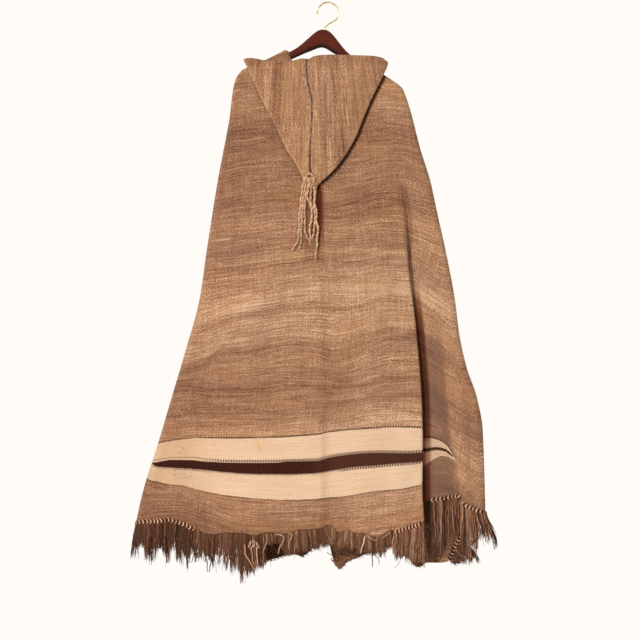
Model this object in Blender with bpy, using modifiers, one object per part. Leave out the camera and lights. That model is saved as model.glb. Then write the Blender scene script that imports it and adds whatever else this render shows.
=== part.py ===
"""Burnous, a hooded wool cloak, hanging flat on a wooden hanger and seen from its back.

Frame: +Z up, the back of the cloak faces -Y, origin where the hook rests on its rail.
Tables and sizes are in millimetres; a "drop" is a distance below the origin.
"""
import math

import bmesh
import bpy
import numpy as np

MM = 0.001
WOOL_WALL = 3.0          # thickness of the handwoven wool
SEAM_GAP = 0.5           # between two pieces that meet edge to edge
HEM_GAP = 0.8            # between the hem and a fringe's backing strip
TOUCH_GAP = 0.35         # between a piece and the one that it lies on

# Side folds of the cloak, from the neck along the shoulders and down: drop, x
LEFT_OUTLINE = (
    (125, -107), (148, -174), (169, -219), (182, -232), (216, -243), (300, -255), (460, -285),
    (650, -315), (772, -333), (897, -367), (1022, -404), (1147, -441), (1271, -480), (1400, -508),
)
RIGHT_OUTLINE = (
    (129, 58), (187, 143), (205, 171), (222, 192), (240, 200), (283, 214), (380, 239), (460, 264),
    (546, 283), (650, 306), (772, 329), (860, 340), (950, 360), (1022, 385), (1110, 401), (1400, 410),
)
# Front edge of the deep pleat: drop, x
PLEAT_EDGE = (
    (125, 34), (187, 94), (240, 143), (300, 158), (447, 192), (546, 201), (666, 206), (850, 226),
    (1032, 244), (1251, 247), (1400, 256),
)
PLEAT_START, PLEAT_FULL = 390, 840     # drops where the pleat begins and is fully folded
PLEAT_TURN, PLEAT_SOFT = 4.6, 10.0     # radius of its two turns, and what is added where it begins
PLEAT_OVERLAP = 20                     # cloth hidden behind its front edge
PLEAT_SPREAD = 0.02                    # half the share of the width that it takes where it lies flat

# Half depth of the side turn, of the back panel and of the fronts: drop, mm
SIDE_TURN = ((125, 8.8), (210, 9.5), (300, 12), (500, 14), (900, 18), (1400, 22))
BACK_DEPTH = ((125, 9.6), (210, 12), (300, 16), (500, 24), (900, 35), (1400, 44))
FRONT_DEPTH = ((125, 9.6), (210, 11), (300, 14), (500, 18), (900, 24), (1400, 30))
# How far the back's cloth runs round onto the front before the side seam: drop, mm
SIDE_WRAP = ((125, 14), (210, 24), (500, 40), (1400, 60))

# Soft folds of the back: x and drop of both ends, width to the left, width to the right, height
BACK_FOLDS = (
    # x0,  drop0,  x1, drop1, left, right, height
    (-14, 620, -4, 1480, 75, 20, 7.0),
    (-258, 430, -272, 780, 22, 45, 4.5),
    (-218, 720, -262, 1180, 34, 120, 6.0),
    (150, 480, 120, 900, 60, 30, 3.5),
    (-120, 300, -100, 760, 60, 90, 3.0),
    (-404, 1130, -420, 1500, 40, 45, 6.0),
    (-300, 1180, -318, 1500, 40, 40, -5.0),
    (-165, 1100, -190, 1500, 45, 50, 5.0),
    (92, 1050, 70, 1500, 45, 35, 5.0),
    (180, 1150, 190, 1500, 30, 25, 4.0),
    (300, 820, 340, 1500, 26, 18, -11.0),
    (344, 900, 374, 1500, 20, 22, 5.0),
)
FRONT_FOLDS = (
    (-170, 420, -230, 1560, 50, 60, 6.0),
    (-80, 700, -95, 1560, 35, 45, -5.0),
    (90, 500, 45, 1560, 45, 40, 6.0),
    (170, 800, 175, 1560, 26, 26, -8.0),
    (200, 900, 240, 1560, 30, 30, 7.0),
)

# Neck edge and hem of the back by column, see back_xy: column, drop
NECK_BACK = (
    (0, 128), (0.65, 125), (1, 126), (1.17, 132), (1.36, 145), (1.53, 160), (1.69, 165),
    (1.83, 162), (1.96, 150), (2.5, 143), (3, 138), (3.5, 134), (4, 130), (4.35, 129), (5, 132),
)
HEM_BACK = (
    (0, 1375), (0.55, 1362), (1, 1350), (1.09, 1342), (1.14, 1354), (1.19, 1372), (1.23, 1382),
    (1.36, 1383), (1.4, 1389), (1.44, 1383), (1.56, 1375), (1.64, 1363), (1.74, 1362),
    (1.84, 1377), (1.89, 1373), (1.93, 1364), (2, 1356), (2.5, 1330), (3, 1299), (3.25, 1295),
    (3.7, 1288), (3.78, 1305), (4, 1318), (4.35, 1329), (5, 1386),
)
# Neck edge and hem of the fronts, from the side seam (0) to the middle (1): share, drop
NECK_LEFT = ((0, 128), (0.38, 140), (0.5, 150), (0.65, 170), (0.8, 200), (1, 236))
NECK_RIGHT = ((0, 132), (0.38, 143), (0.5, 153), (0.65, 173), (0.8, 201), (1, 236))
HEM_LEFT = ((0, 1375), (0.3, 1395), (0.5, 1420), (0.62, 1446), (0.75, 1427), (0.83, 1424),
            (0.93, 1405), (1, 1409))
HEM_RIGHT = ((0, 1386), (0.05, 1418), (0.1, 1450), (0.26, 1452), (0.32, 1465), (0.4, 1448),
             (0.47, 1432), (0.52, 1402), (0.69, 1431), (0.8, 1448), (0.91, 1471), (1, 1424))
MIDDLE_LEFT = ((236, -16), (470, -16), (1000, -8), (1480, 2))
MIDDLE_RIGHT = ((236, -16), (470, -16), (1000, -4), (1480, 6))

# Columns of the back: five stretches, each with its steps
BACK_COLUMNS = np.concatenate([
    np.linspace(0, 0.35, 2, endpoint=False), np.linspace(0.35, 1, 5, endpoint=False),
    np.linspace(1, 2, 21, endpoint=False), np.linspace(2, 3, 10, endpoint=False),
    np.linspace(3, 4, 8, endpoint=False), np.linspace(4, 4.65, 5, endpoint=False),
    np.linspace(4.65, 5, 3),
])
# Columns of the fronts, from the side seam (0) to the middle (1)
LEFT_SHARES = (0, 0.12, 0.3, 0.42, 0.52, 0.62, 0.68, 0.75, 0.83, 0.93, 1)
RIGHT_SHARES = (0, 0.05, 0.1, 0.18, 0.26, 0.32, 0.4, 0.47, 0.52, 0.6, 0.69, 0.8, 0.91, 1)
# Level of each row from neck (0) to hem (1); closer together over the shoulders
ROWS = (0, 0.012, 0.025, 0.04, 0.056, 0.076, 0.105, 0.145, 0.2, 0.26, 0.32, 0.38, 0.44, 0.5,
        0.56, 0.62, 0.69, 0.76, 0.83, 0.89, 0.95, 1)

# Hood: side edges and swell by drop, top edges of its outer and inner layer by share of the width
HOOD_LEFT = ((140, -215), (164, -209), (201, -195), (250, -172), (322, -135), (385, -106),
             (432, -77), (482, -54))
HOOD_RIGHT = ((135, 150), (159, 154), (188, 144), (244, 118), (296, 95), (356, 70), (424, 28),
              (482, -32))
HOOD_TOP = ((0, 154), (0.06, 163), (0.13, 170), (0.3, 171), (0.35, 158), (0.48, 149), (0.6, 145),
            (0.9, 146), (0.97, 151), (1, 162))
HOOD_NECK = ((0, 156), (0.1, 170), (0.3, 175), (0.7, 172), (0.93, 166), (1, 163))
HOOD_TIP = 482
HOOD_EDGE = 4.2                        # radius of the hood's side folds
HOOD_SWELL = ((135, 15), (200, 12), (300, 10), (420, 6), (482, 1))
HOOD_SWELL_SHAPE = 0.7                 # below 1 is a fuller curve across the width
HOOD_SLACK = ((165, 0), (225, 1.6))    # drop, extra distance from the back
HOOD_LIFT = ((0, 0.0), (0.5, 3.0), (0.85, 9.0), (1, 13.0))   # share of the width, stand-off
HOOD_LIFT_START, HOOD_LIFT_RUN = 130, 60
HOOD_FOLDS = (
    (-57, 150, -52, 500, 14, 5, -4.5),
    (-12, 150, -14, 430, 16, 8, 4.0),
    (-118, 160, -95, 380, 22, 18, 3.0),
    (78, 150, 40, 360, 26, 20, 3.5),
)

# Braided edging on the back: name, first and last column, stitches
BRAIDS = (
    ("braid_left", 0.78, 1.19, 17),
    ("braid_right", 1.9, 1.995, 8),
    ("braid_inner", 3.24, 3.69, 8),
    ("braid_outer", 3.79, 4.12, 6),
)
BRAID_HEIGHT, BRAID_THICK = 12.0, 3.4
BRAID_CORNER = (0.0, 0.096, 8)         # on the right front: first and last share, stitches

# Fringe strips: name, panel, first and last place on it, strands, lengths at the first, middle and
# last strand, ragged share, sideways lean of the first and the last
FRINGES = (
    ("fringe_left", "back", 0.74, 1.185, 24, 72, 82, 78, 0.1, -9, 1),
    ("fringe_mid_left", "back", 1.195, 1.43, 27, 72, 104, 84, 0.14, -3, 6),
    ("fringe_mid", "back", 1.435, 1.67, 20, 40, 44, 42, 0.2, 0, 3),
    ("fringe_flap", "back", 1.68, 1.885, 15, 48, 56, 44, 0.3, -3, 3),
    ("fringe_mid_right", "back", 1.895, 2.06, 13, 72, 92, 88, 0.1, -5, 4),
    ("fringe_inner", "back", 3.2, 3.69, 15, 150, 152, 148, 0.03, -3, 3),
    ("fringe_outer", "back", 3.785, 4.36, 12, 138, 150, 108, 0.08, 2, 26),
    ("fringe_corner", "right", 0.096, 0.0, 9, 36, 62, 88, 0.06, 16, 18),
)
FRINGE_STRIP = (5.0, 2.6)              # height and thickness of the backing strips
STRAND_SHARE = 0.62                    # width of a strand's root in its pitch
STRAND_SWAY = 0.22                     # sideways stray of a tip, as a share of its pitch
TASSEL_CORDS = (
    # x at the head, drop of the end, x of the end
    (-66, 636, -84), (-60, 622, -72), (-53, 606, -60), (-45, 604, -49), (-38, 640, -39), (-30, 668, -28),
)
TASSEL_HEAD = (8.0, 6.0)               # height and thickness of the tassel's head

# Hanger, about its own apex before it tilts: x, depth below the apex; right half only
WOOD_TOP = ((0, 0), (10, 2), (21, 9), (39, 27), (53, 42), (65, 53), (84, 66), (140, 95), (182, 119),
            (195, 128))
WOOD_UNDER = ((200, 136), (198, 145), (188, 146), (140, 119), (80, 86), (30, 59), (0, 47))
WOOD_APEX = (-10.5, 69.0)              # x and drop of the apex
WOOD_TILT = 5.0                        # degrees, right arm down
WOOD_HALF_THICK, WOOD_EDGE = 6.0, 2.2
STEM_DEPTH, BORE_RADIUS = 16.0, 2.2

HOOK_WIRE = 1.8                        # radius of the wire
HOOK_RADIUS = 27.0                     # of the arc's middle line
HOOK_NECK = ((22.5, 41.5), (12.5, 48.5), (3.0, 54.0), (-4.5, 60.5))   # x and drop along the S
HOOK_BALL = (1.15, 1.6, 1.95, 1.95, 1.6, 0.7)   # the ball end, in wire radii

COLOURS = {
    # name: base colour, roughness, metallic
    "brown_wool": ((0.36, 0.22, 0.13, 1), 0.95, 0.0),
    "tan_wool": ((0.42, 0.27, 0.15, 1), 0.95, 0.0),
    "two_colour_braid": ((0.62, 0.45, 0.3, 1), 0.9, 0.0),
    "dark_fringe": ((0.11, 0.05, 0.03, 1), 0.95, 0.0),
    "mahogany": ((0.1, 0.02, 0.01, 1), 0.35, 0.0),
    "brass_wire": ((0.8, 0.68, 0.42, 1), 0.25, 1.0),
}


def clear_scene():
    for item in list(bpy.data.objects):
        bpy.data.objects.remove(item, do_unlink=True)


def along(table, at):
    """Smooth curve through a table's rows, with no overshoot between them."""
    table = np.array(table, float)
    key, value = table[:, 0], table[:, 1]
    at = np.clip(np.asarray(at, float), key[0], key[-1])
    step = np.diff(key)
    rise = np.diff(value) / step
    same_way = rise[:-1] * rise[1:] > 0
    inner = np.where(same_way, 2 * rise[:-1] * rise[1:] / np.where(same_way, rise[:-1] + rise[1:], 1), 0)
    slope = np.concatenate([[rise[0]], inner, [rise[-1]]])
    i = np.clip(np.searchsorted(key, at, side="right") - 1, 0, len(key) - 2)
    t = (at - key[i]) / step[i]
    return (value[i] * (1 + 2 * t) * (1 - t) ** 2 + slope[i] * step[i] * t * (1 - t) ** 2
            + value[i + 1] * t * t * (3 - 2 * t) + slope[i + 1] * step[i] * t * t * (t - 1))


def ease(share):
    share = np.clip(share, 0, 1)
    return share * share * (3 - 2 * share)


def folds(table, x, drop):
    """Sum of soft ridges and troughs that run down the cloth."""
    total = np.zeros(np.broadcast(x, drop).shape)
    for x0, drop0, x1, drop1, left, right, height in table:
        down = (drop - drop0) / (drop1 - drop0)
        middle = x0 + (x1 - x0) * down
        width = np.where(x < middle, left, right)
        fade = ease(down / 0.3) * ease((1 - down) / 0.2)
        total = total + height * fade * np.exp(-((x - middle) / width) ** 2)
    return total


def panel_depth(table, fold_table, x, drop):
    """Distance of a panel from the cloak's middle plane."""
    left, right, turn = along(LEFT_OUTLINE, drop), along(RIGHT_OUTLINE, drop), along(SIDE_TURN, drop)
    share = np.clip((x - left - turn) / (right - left - 2 * turn), 0, 1)
    swell = ease(share / 0.3) * ease((1 - share) / 0.3)
    inside = ease(share / 0.07) * ease((1 - share) / 0.07)
    return turn + (along(table, drop) - turn) * swell + folds(fold_table, x, drop) * inside


def back_y(x, drop):
    return -panel_depth(BACK_DEPTH, BACK_FOLDS, x, drop)


def front_y(x, drop):
    return panel_depth(FRONT_DEPTH, FRONT_FOLDS, x, drop)


def side_turn_xy(share, drop, outline, outward):
    """From the side seam on the front (0), round the side fold, to the back panel (1)."""
    edge, turn, wrap = along(outline, drop), along(SIDE_TURN, drop), along(SIDE_WRAP, drop)
    flat = 0.35
    angle = math.pi * (0.5 - np.clip((share - flat) / (1 - flat), 0, 1))
    inward = turn * (1 - np.cos(angle)) + (wrap - turn) * np.clip(1 - share / flat, 0, 1)
    x = edge - outward * inward
    y = np.where(share < flat, front_y(x, drop), turn * np.sin(angle))
    return x, y


def pleat_sizes(drop, width):
    """Turning angle, radius, stretch between the turns and flat lead of the pleat."""
    folded = ease((drop - PLEAT_START) / (PLEAT_FULL - PLEAT_START))
    radius = PLEAT_TURN + PLEAT_SOFT * (1 - folded) ** 3
    return math.pi * folded, radius, PLEAT_OVERLAP * folded ** 3, PLEAT_SPREAD * width * (1 - folded)


def pleat_reach(drop, width):
    """Distance from the pleat's first column to its front edge."""
    _, radius, _, lead = pleat_sizes(drop, width)
    return radius + lead


def pleat(share, drop, width):
    """Plan path through a flat lead, a turn back, a stretch, a turn forward and a flat lead."""
    angle, radius, stretch, lead = pleat_sizes(drop, width)
    arc = radius * angle
    run = share * (2 * lead + 2 * arc + stretch)
    back = np.clip(run - lead, 0, arc) / radius
    between = np.clip(run - lead - arc, 0, stretch)
    forward = np.clip(run - lead - arc - stretch, 0, arc) / radius
    level = np.clip(run, 0, lead) + np.clip(run - lead - 2 * arc - stretch, 0, None)
    x = level + between * np.cos(angle) + radius * (np.sin(back) + np.sin(angle) - np.sin(angle - forward))
    y = between * np.sin(angle) + radius * (1 - np.cos(back) + np.cos(angle - forward) - np.cos(angle))
    return x, y


def back_xy(column, drop):
    """Plan position of the back's middle surface.

    Columns 0-1 are the left side turn, 1-2 the main panel, 2-3 the pleat's two turns,
    3-4 the set-back panel and 4-5 the right side turn.
    """
    column, drop = np.broadcast_arrays(np.asarray(column, float), np.asarray(drop, float))
    left, right, turn = along(LEFT_OUTLINE, drop), along(RIGHT_OUTLINE, drop), along(SIDE_TURN, drop)
    fold_x, fold_y = pleat(np.clip(column - 2, 0, 1), drop, right - left)
    pleat_x = along(PLEAT_EDGE, drop) - pleat_reach(drop, right - left)
    main_x = left + turn + (pleat_x - left - turn) * (column - 1)
    turned_x = pleat_x + fold_x
    set_back = np.clip(column - 3, 0, 1)
    set_back_x = turned_x + (right - turn - turned_x) * set_back
    x = np.select([column < 2, column < 3], [main_x, turned_x], set_back_x)
    y = back_y(x, drop) + fold_y * (1 - ease(set_back))

    left_x, left_y = side_turn_xy(column, drop, LEFT_OUTLINE, -1)
    right_x, right_y = side_turn_xy(5 - column, drop, RIGHT_OUTLINE, 1)
    x = np.select([column < 1, column > 4], [left_x, right_x], x)
    y = np.select([column < 1, column > 4], [left_y, right_y], y)
    return x, y


def front_xy(share, drop, outline, middle, outward):
    """Plan position of a front, from the side seam (0) to the middle of the chest (1)."""
    seam = along(outline, drop) - outward * (along(SIDE_WRAP, drop) + SEAM_GAP)
    centre = along(middle, drop) + outward * SEAM_GAP / 2
    x = seam + (centre - seam) * share
    return x, front_y(x, drop)


def add_material(item, name):
    material = bpy.data.materials.get(name)
    if material is None:
        colour, roughness, metallic = COLOURS[name]
        material = bpy.data.materials.new(name)
        material.use_nodes = True
        shader = material.node_tree.nodes["Principled BSDF"]
        shader.inputs["Base Color"].default_value = colour
        shader.inputs["Roughness"].default_value = roughness
        shader.inputs["Metallic"].default_value = metallic
    item.data.materials.append(material)


def new_object(name, mesh, material):
    item = bpy.data.objects.new(name, mesh)
    bpy.data.collections["burnous_cloak"].objects.link(item)
    add_material(item, material)
    return item


def grid_mesh(name, points, around=False):
    """Open surface from rows x columns of points in mm; around joins the last column to the first."""
    rows, columns, _ = points.shape
    quads = []
    for i in range(rows - 1):
        for j in range(columns if around else columns - 1):
            k = (j + 1) % columns
            quads.append((i * columns + j, (i + 1) * columns + j, (i + 1) * columns + k, i * columns + k))
    mesh = bpy.data.meshes.new(name)
    mesh.from_pydata((points.reshape(-1, 3) * MM).tolist(), [], quads)
    return mesh


def close_end(mesh, first, count):
    """Close a ring of vertices with one face."""
    shape = bmesh.new()
    shape.from_mesh(mesh)
    shape.verts.ensure_lookup_table()
    shape.faces.new([shape.verts[first + i] for i in range(count)])
    bmesh.ops.recalc_face_normals(shape, faces=shape.faces)
    shape.to_mesh(mesh)
    shape.free()


def cloth_wall(name, mesh, material):
    item = new_object(name, mesh, material)
    wall = item.modifiers.new("wool", "SOLIDIFY")
    wall.thickness = WOOL_WALL * MM
    wall.offset = 0
    wall.use_even_offset = True
    mesh.shade_smooth()
    return item


def back_points(columns, levels):
    column, level = np.meshgrid(columns, levels)
    top, hem = along(NECK_BACK, column), along(HEM_BACK, column)
    drop = top + (hem - top) * level
    x, y = back_xy(column, drop)
    return np.stack([x, y, -drop], axis=-1)


def make_back():
    cloth_wall("cloak_back", grid_mesh("cloak_back", back_points(BACK_COLUMNS, ROWS)), "brown_wool")


def front_points(shares, levels, neck, hem, outline, middle, outward):
    share, level = np.meshgrid(shares, levels)
    top, bottom = along(neck, share), along(hem, share)
    drop = top + (bottom - top) * level
    x, y = front_xy(share, drop, outline, middle, outward)
    return np.stack([x, y, -drop], axis=-1)


def right_front_points():
    return front_points(RIGHT_SHARES, ROWS, NECK_RIGHT, HEM_RIGHT, RIGHT_OUTLINE, MIDDLE_RIGHT, 1)


def make_fronts():
    left = front_points(LEFT_SHARES, ROWS, NECK_LEFT, HEM_LEFT, LEFT_OUTLINE, MIDDLE_LEFT, -1)
    right = right_front_points()
    cloth_wall("cloak_front_left", grid_mesh("cloak_front_left", left), "brown_wool")
    cloth_wall("cloak_front_right", grid_mesh("cloak_front_right", right), "brown_wool")


def hood_ring():
    """Columns round the hood: share of the width, and side: 0 inner layer to 1 outer layer."""
    outer = [(share, 1.0, 0.0) for share in np.linspace(0, 1, 17)]
    right = [(1.0, 0.5 + 0.5 * math.cos(a), math.sin(a)) for a in np.linspace(0, math.pi, 5)[1:-1]]
    inner = [(share, 0.0, 0.0) for share in np.linspace(1, 0, 11)]
    left = [(0.0, 0.5 - 0.5 * math.cos(a), -math.sin(a)) for a in np.linspace(0, math.pi, 5)[1:-1]]
    return np.array(outer + right + inner + left)


def hood_points(ring, levels):
    share, outer, turn = (ring[:, i][None, :] for i in range(3))
    level = np.asarray(levels, float)[:, None]
    top = along(HOOD_NECK, share) * (1 - outer) + along(HOOD_TOP, share) * outer
    drop = top + (HOOD_TIP - top) * level
    left, right = along(HOOD_LEFT, drop) + HOOD_EDGE, along(HOOD_RIGHT, drop) - HOOD_EDGE
    x = left + (right - left) * share + HOOD_EDGE * turn
    near = back_y(x, drop) - WOOL_WALL - TOUCH_GAP - along(HOOD_SLACK, drop)
    inner_y = near - along(HOOD_LIFT, share) * ease((drop - HOOD_LIFT_START) / HOOD_LIFT_RUN)
    swell = along(HOOD_SWELL, drop) * np.sin(math.pi * share) ** HOOD_SWELL_SHAPE
    outer_y = inner_y - 2 * HOOD_EDGE - swell - folds(HOOD_FOLDS, x, drop)
    y = inner_y + (outer_y - inner_y) * outer
    return np.stack(np.broadcast_arrays(x, y, -drop), axis=-1)


def make_hood():
    ring = hood_ring()
    levels = (0, 0.05, 0.12, 0.22, 0.33, 0.45, 0.57, 0.69, 0.8, 0.9, 1)
    points = hood_points(ring, levels)
    mesh = grid_mesh("hood", points, around=True)
    close_end(mesh, (len(levels) - 1) * len(ring), len(ring))
    cloth_wall("hood", mesh, "tan_wool")


def outward_of(points):
    """Unit vectors, level and square to a path, on the camera's side for a path to the right."""
    run = np.gradient(points[:, :2], axis=0)
    side = np.stack([run[:, 1], -run[:, 0], np.zeros(len(run))], axis=1)
    return side / np.linalg.norm(side, axis=1)[:, None]


def downward_of(points, out):
    """Unit vectors in the cloth, square to a hem path and to its outward direction."""
    run = np.gradient(points, axis=0)
    down = np.cross(run, out)
    down *= np.where(down[:, 2] > 0, -1, 1)[:, None]
    return down / np.linalg.norm(down, axis=1)[:, None]


def make_braid(name, path):
    """Flat braid along a path on the cloth, swelling at every second point."""
    out = outward_of(path)
    profile = ((0.0, -0.5), (0.8, -0.36), (1.0, 0.0), (0.8, 0.36), (0.0, 0.5))
    swelling = np.where(np.arange(len(path)) % 2 == 1, 1.0, 0.6)
    rings = []
    for reach, height in profile:
        offset = WOOL_WALL / 2 + TOUCH_GAP + reach * BRAID_THICK * swelling
        rings.append(path + out * offset[:, None] + np.array([0, 0, height * BRAID_HEIGHT]))
    points = np.stack(rings, axis=1)
    mesh = grid_mesh(name, points, around=True)
    close_end(mesh, 0, len(profile))
    close_end(mesh, (len(path) - 1) * len(profile), len(profile))
    new_object(name, mesh, "two_colour_braid")


def hem_path(panel, first, last, shares):
    """Points on a panel's hem, at shares of the length between two of its columns."""
    columns, grid = ((BACK_COLUMNS, back_points(BACK_COLUMNS, ROWS)) if panel == "back"
                     else (RIGHT_SHARES, right_front_points()))
    hem = grid[-1]
    dense = np.linspace(first, last, 400)
    points = np.stack([np.interp(dense, columns, hem[:, i]) for i in range(3)], axis=1)
    length = np.concatenate([[0], np.cumsum(np.linalg.norm(np.diff(points, axis=0), axis=1))])
    at = np.asarray(shares) * length[-1]
    return np.stack([np.interp(at, length, points[:, i]) for i in range(3)], axis=1)


def make_braids():
    for name, first, last, stitches in BRAIDS:
        make_braid(name, hem_path("back", first, last, np.linspace(0, 1, 2 * stitches + 1)))
    first, last, stitches = BRAID_CORNER
    make_braid("braid_corner", hem_path("right", last, first, np.linspace(0, 1, 2 * stitches + 1)))


def make_strands(name, path, ends, strip, material, segments=2):
    """Narrow backing strip with one four-sided strand below each of its cells.

    path holds the strip's top corners in pairs, one pair a strand; ends holds each strand's tip.
    """
    height, thick = strip
    out = outward_of(path)
    down = downward_of(path, out)
    shape = bmesh.new()
    number = shape.faces.layers.int.new("strand")
    rails = []
    for reach, depth in ((0.5, 0.0), (-0.5, 0.0), (-0.5, height), (0.5, height)):
        rail = path + out * reach * thick + down * depth
        rails.append([shape.verts.new(p) for p in rail * MM])
    count = len(path)
    roots = []
    for i in range(count - 1):
        for a in range(4):
            b = (a + 1) % 4
            face = shape.faces.new((rails[a][i], rails[a][i + 1], rails[b][i + 1], rails[b][i]))
            if a == 2 and i % 2 == 0:
                face[number] = i // 2
                roots.append(face)
    shape.faces.new([rails[a][0] for a in range(4)])
    shape.faces.new([rails[a][count - 1] for a in range(3, -1, -1)])
    bmesh.ops.recalc_face_normals(shape, faces=shape.faces)
    centres = [np.array(face.calc_center_median()) / MM for face in roots]
    faces = roots
    for step in range(segments):
        faces = bmesh.ops.extrude_discrete_faces(shape, faces=faces)["faces"]
        faces = sorted(faces, key=lambda face: face[number])
        share = (step + 1) / segments
        for face, start, end in zip(faces, centres, ends):
            bow = math.sin(math.pi * share) * np.array([0.04 * (end[2] - start[2]), 0, 0])
            middle = (start + (end - start) * share + bow) * MM
            old = face.calc_center_median()
            narrow = 1 - 0.6 * share ** 2
            for vert in face.verts:
                vert.co = (vert.co - old) * (narrow / (1 - 0.6 * (step / segments) ** 2))
                vert.co.x += middle[0]
                vert.co.y += middle[1]
                vert.co.z = vert.co.z * 0.3 + middle[2]
    bmesh.ops.recalc_face_normals(shape, faces=shape.faces)
    mesh = bpy.data.meshes.new(name)
    shape.to_mesh(mesh)
    shape.free()
    new_object(name, mesh, material)


def make_fringes():
    rng = np.random.default_rng(7)
    for name, panel, first, last, strands, start, centre, end, ragged, lean_first, lean_last in FRINGES:
        cells = np.arange(strands)[:, None] + np.array([0, STRAND_SHARE])
        shares = cells.ravel() / (strands - 1 + STRAND_SHARE)
        path = hem_path(panel, first, last, shares)
        path = path + downward_of(path, outward_of(path)) * HEM_GAP
        middle = (path[0::2] + path[1::2]) / 2
        fan = np.linspace(0, 1, strands)
        reach = np.interp(fan, (0, 0.5, 1), (start, centre, end))
        reach = reach * (1 + ragged * rng.uniform(-1, 1, strands))
        lean = lean_first + (lean_last - lean_first) * fan
        pitch = np.linalg.norm(np.gradient(middle, axis=0)[:, :2], axis=1)
        sway = STRAND_SWAY * pitch * rng.uniform(-1, 1, strands)
        ends = middle + np.stack([lean + sway, rng.uniform(-1.5, 1.5, strands), -reach], axis=1)
        make_strands(name, path, ends, FRINGE_STRIP, "dark_fringe")


def make_tassel():
    height, thick = TASSEL_HEAD
    top = HOOD_TIP + WOOL_WALL / 2 + TOUCH_GAP + 0.6
    cells = []
    for x, _, _ in TASSEL_CORDS:
        cells += [x - 2.6, x + 2.6]
    x = np.array(cells, float)
    y = back_y(x, top + 20) - WOOL_WALL / 2 - thick / 2 - 2.0
    path = np.stack([x, np.full_like(x, y.min()), np.full_like(x, -top)], axis=1)
    ends = np.array([(end_x, float(back_y(end_x, drop)) - WOOL_WALL / 2 - 5.0, -drop)
                     for _, drop, end_x in TASSEL_CORDS])
    make_strands("hood_tassel", path, ends, TASSEL_HEAD, "tan_wool", segments=3)


def tilted(x, depth):
    """World x and z of a point given about the hanger's apex."""
    turn = math.radians(WOOD_TILT)
    return (WOOD_APEX[0] + x * math.cos(turn) - depth * math.sin(turn),
            -WOOD_APEX[1] - x * math.sin(turn) - depth * math.cos(turn))


def make_wood():
    half = WOOD_TOP + WOOD_UNDER
    outline = list(half) + [(-x, depth) for x, depth in half[-2:0:-1]]
    flat = bpy.data.curves.new("wood_outline", "CURVE")
    flat.dimensions = "2D"
    flat.fill_mode = "BOTH"
    flat.extrude = (WOOD_HALF_THICK - WOOD_EDGE) * MM
    flat.bevel_depth = WOOD_EDGE * MM
    flat.bevel_resolution = 1
    flat.offset = -WOOD_EDGE * MM
    spline = flat.splines.new("POLY")
    spline.points.add(len(outline) - 1)
    spline.use_cyclic_u = True
    for point, (x, depth) in zip(spline.points, outline):
        point.co = (x * MM, -depth * MM, 0, 1)
    guide = bpy.data.objects.new("wood_outline", flat)
    guide.location = (WOOD_APEX[0] * MM, 0, -WOOD_APEX[1] * MM)
    guide.rotation_euler = (math.pi / 2, math.radians(WOOD_TILT), 0)
    bpy.data.collections["burnous_cloak"].objects.link(guide)
    bpy.context.view_layer.update()
    mesh = bpy.data.meshes.new_from_object(guide.evaluated_get(bpy.context.evaluated_depsgraph_get()))
    shape = bmesh.new()
    shape.from_mesh(mesh)
    bmesh.ops.remove_doubles(shape, verts=shape.verts, dist=0.00005)
    bmesh.ops.recalc_face_normals(shape, faces=shape.faces)
    shape.to_mesh(mesh)
    shape.free()
    wood = new_object("hanger_wood", mesh, "mahogany")
    wood.matrix_world = guide.matrix_world.copy()
    bpy.data.objects.remove(guide, do_unlink=True)

    bpy.ops.mesh.primitive_cylinder_add(vertices=16, radius=BORE_RADIUS * MM, depth=2 * (STEM_DEPTH + 1) * MM)
    cutter = bpy.context.object
    cutter.name = "stem_bore_cutter"
    cutter.location = (WOOD_APEX[0] * MM, 0, -WOOD_APEX[1] * MM)
    cutter.rotation_euler = (0, math.radians(WOOD_TILT), 0)
    cutter.hide_render = True
    cutter.display_type = "WIRE"
    for collection in cutter.users_collection:
        collection.objects.unlink(cutter)
    bpy.data.collections["cutters"].objects.link(cutter)
    bore = wood.modifiers.new("stem_bore", "BOOLEAN")
    bore.operation = "DIFFERENCE"
    bore.object = cutter


def make_hook():
    angles = np.radians(np.linspace(-12, 172, 17))
    arc = [(HOOK_RADIUS * math.cos(a), HOOK_RADIUS * (math.sin(a) - 1) + HOOK_WIRE) for a in angles]
    neck = [(x, -drop) for x, drop in HOOK_NECK]
    stem = [tilted(0, STEM_DEPTH - 1), tilted(0, 4), tilted(0, -2)]
    through = np.array(stem + neck[::-1] + arc)
    length = np.concatenate([[0], np.cumsum(np.linalg.norm(np.diff(through, axis=0), axis=1))])
    at = np.concatenate([np.linspace(0, length[-1], 26), length[-1] + np.array([0.8, 2.0, 3.4, 4.8, 5.8])])
    path_x = along(np.stack([length, through[:, 0]], axis=1), at)
    path_z = along(np.stack([length, through[:, 1]], axis=1), at)
    heading = through[-1] - through[-2]
    heading /= np.linalg.norm(heading)
    beyond = np.clip(at - length[-1], 0, None)
    path_x, path_z = path_x + heading[0] * beyond, path_z + heading[1] * beyond
    wire = bpy.data.curves.new("hanger_hook", "CURVE")
    wire.dimensions = "3D"
    wire.bevel_depth = HOOK_WIRE * MM
    wire.bevel_resolution = 2
    wire.use_fill_caps = True
    spline = wire.splines.new("POLY")
    spline.points.add(len(at) - 1)
    ball = [1.0] * (len(at) - len(HOOK_BALL)) + list(HOOK_BALL)
    for point, x, z, radius in zip(spline.points, path_x, path_z, ball):
        point.co = (x * MM, 0, z * MM, 1)
        point.radius = radius
    item = bpy.data.objects.new("hanger_hook", wire)
    bpy.data.collections["burnous_cloak"].objects.link(item)
    add_material(item, "brass_wire")


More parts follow.
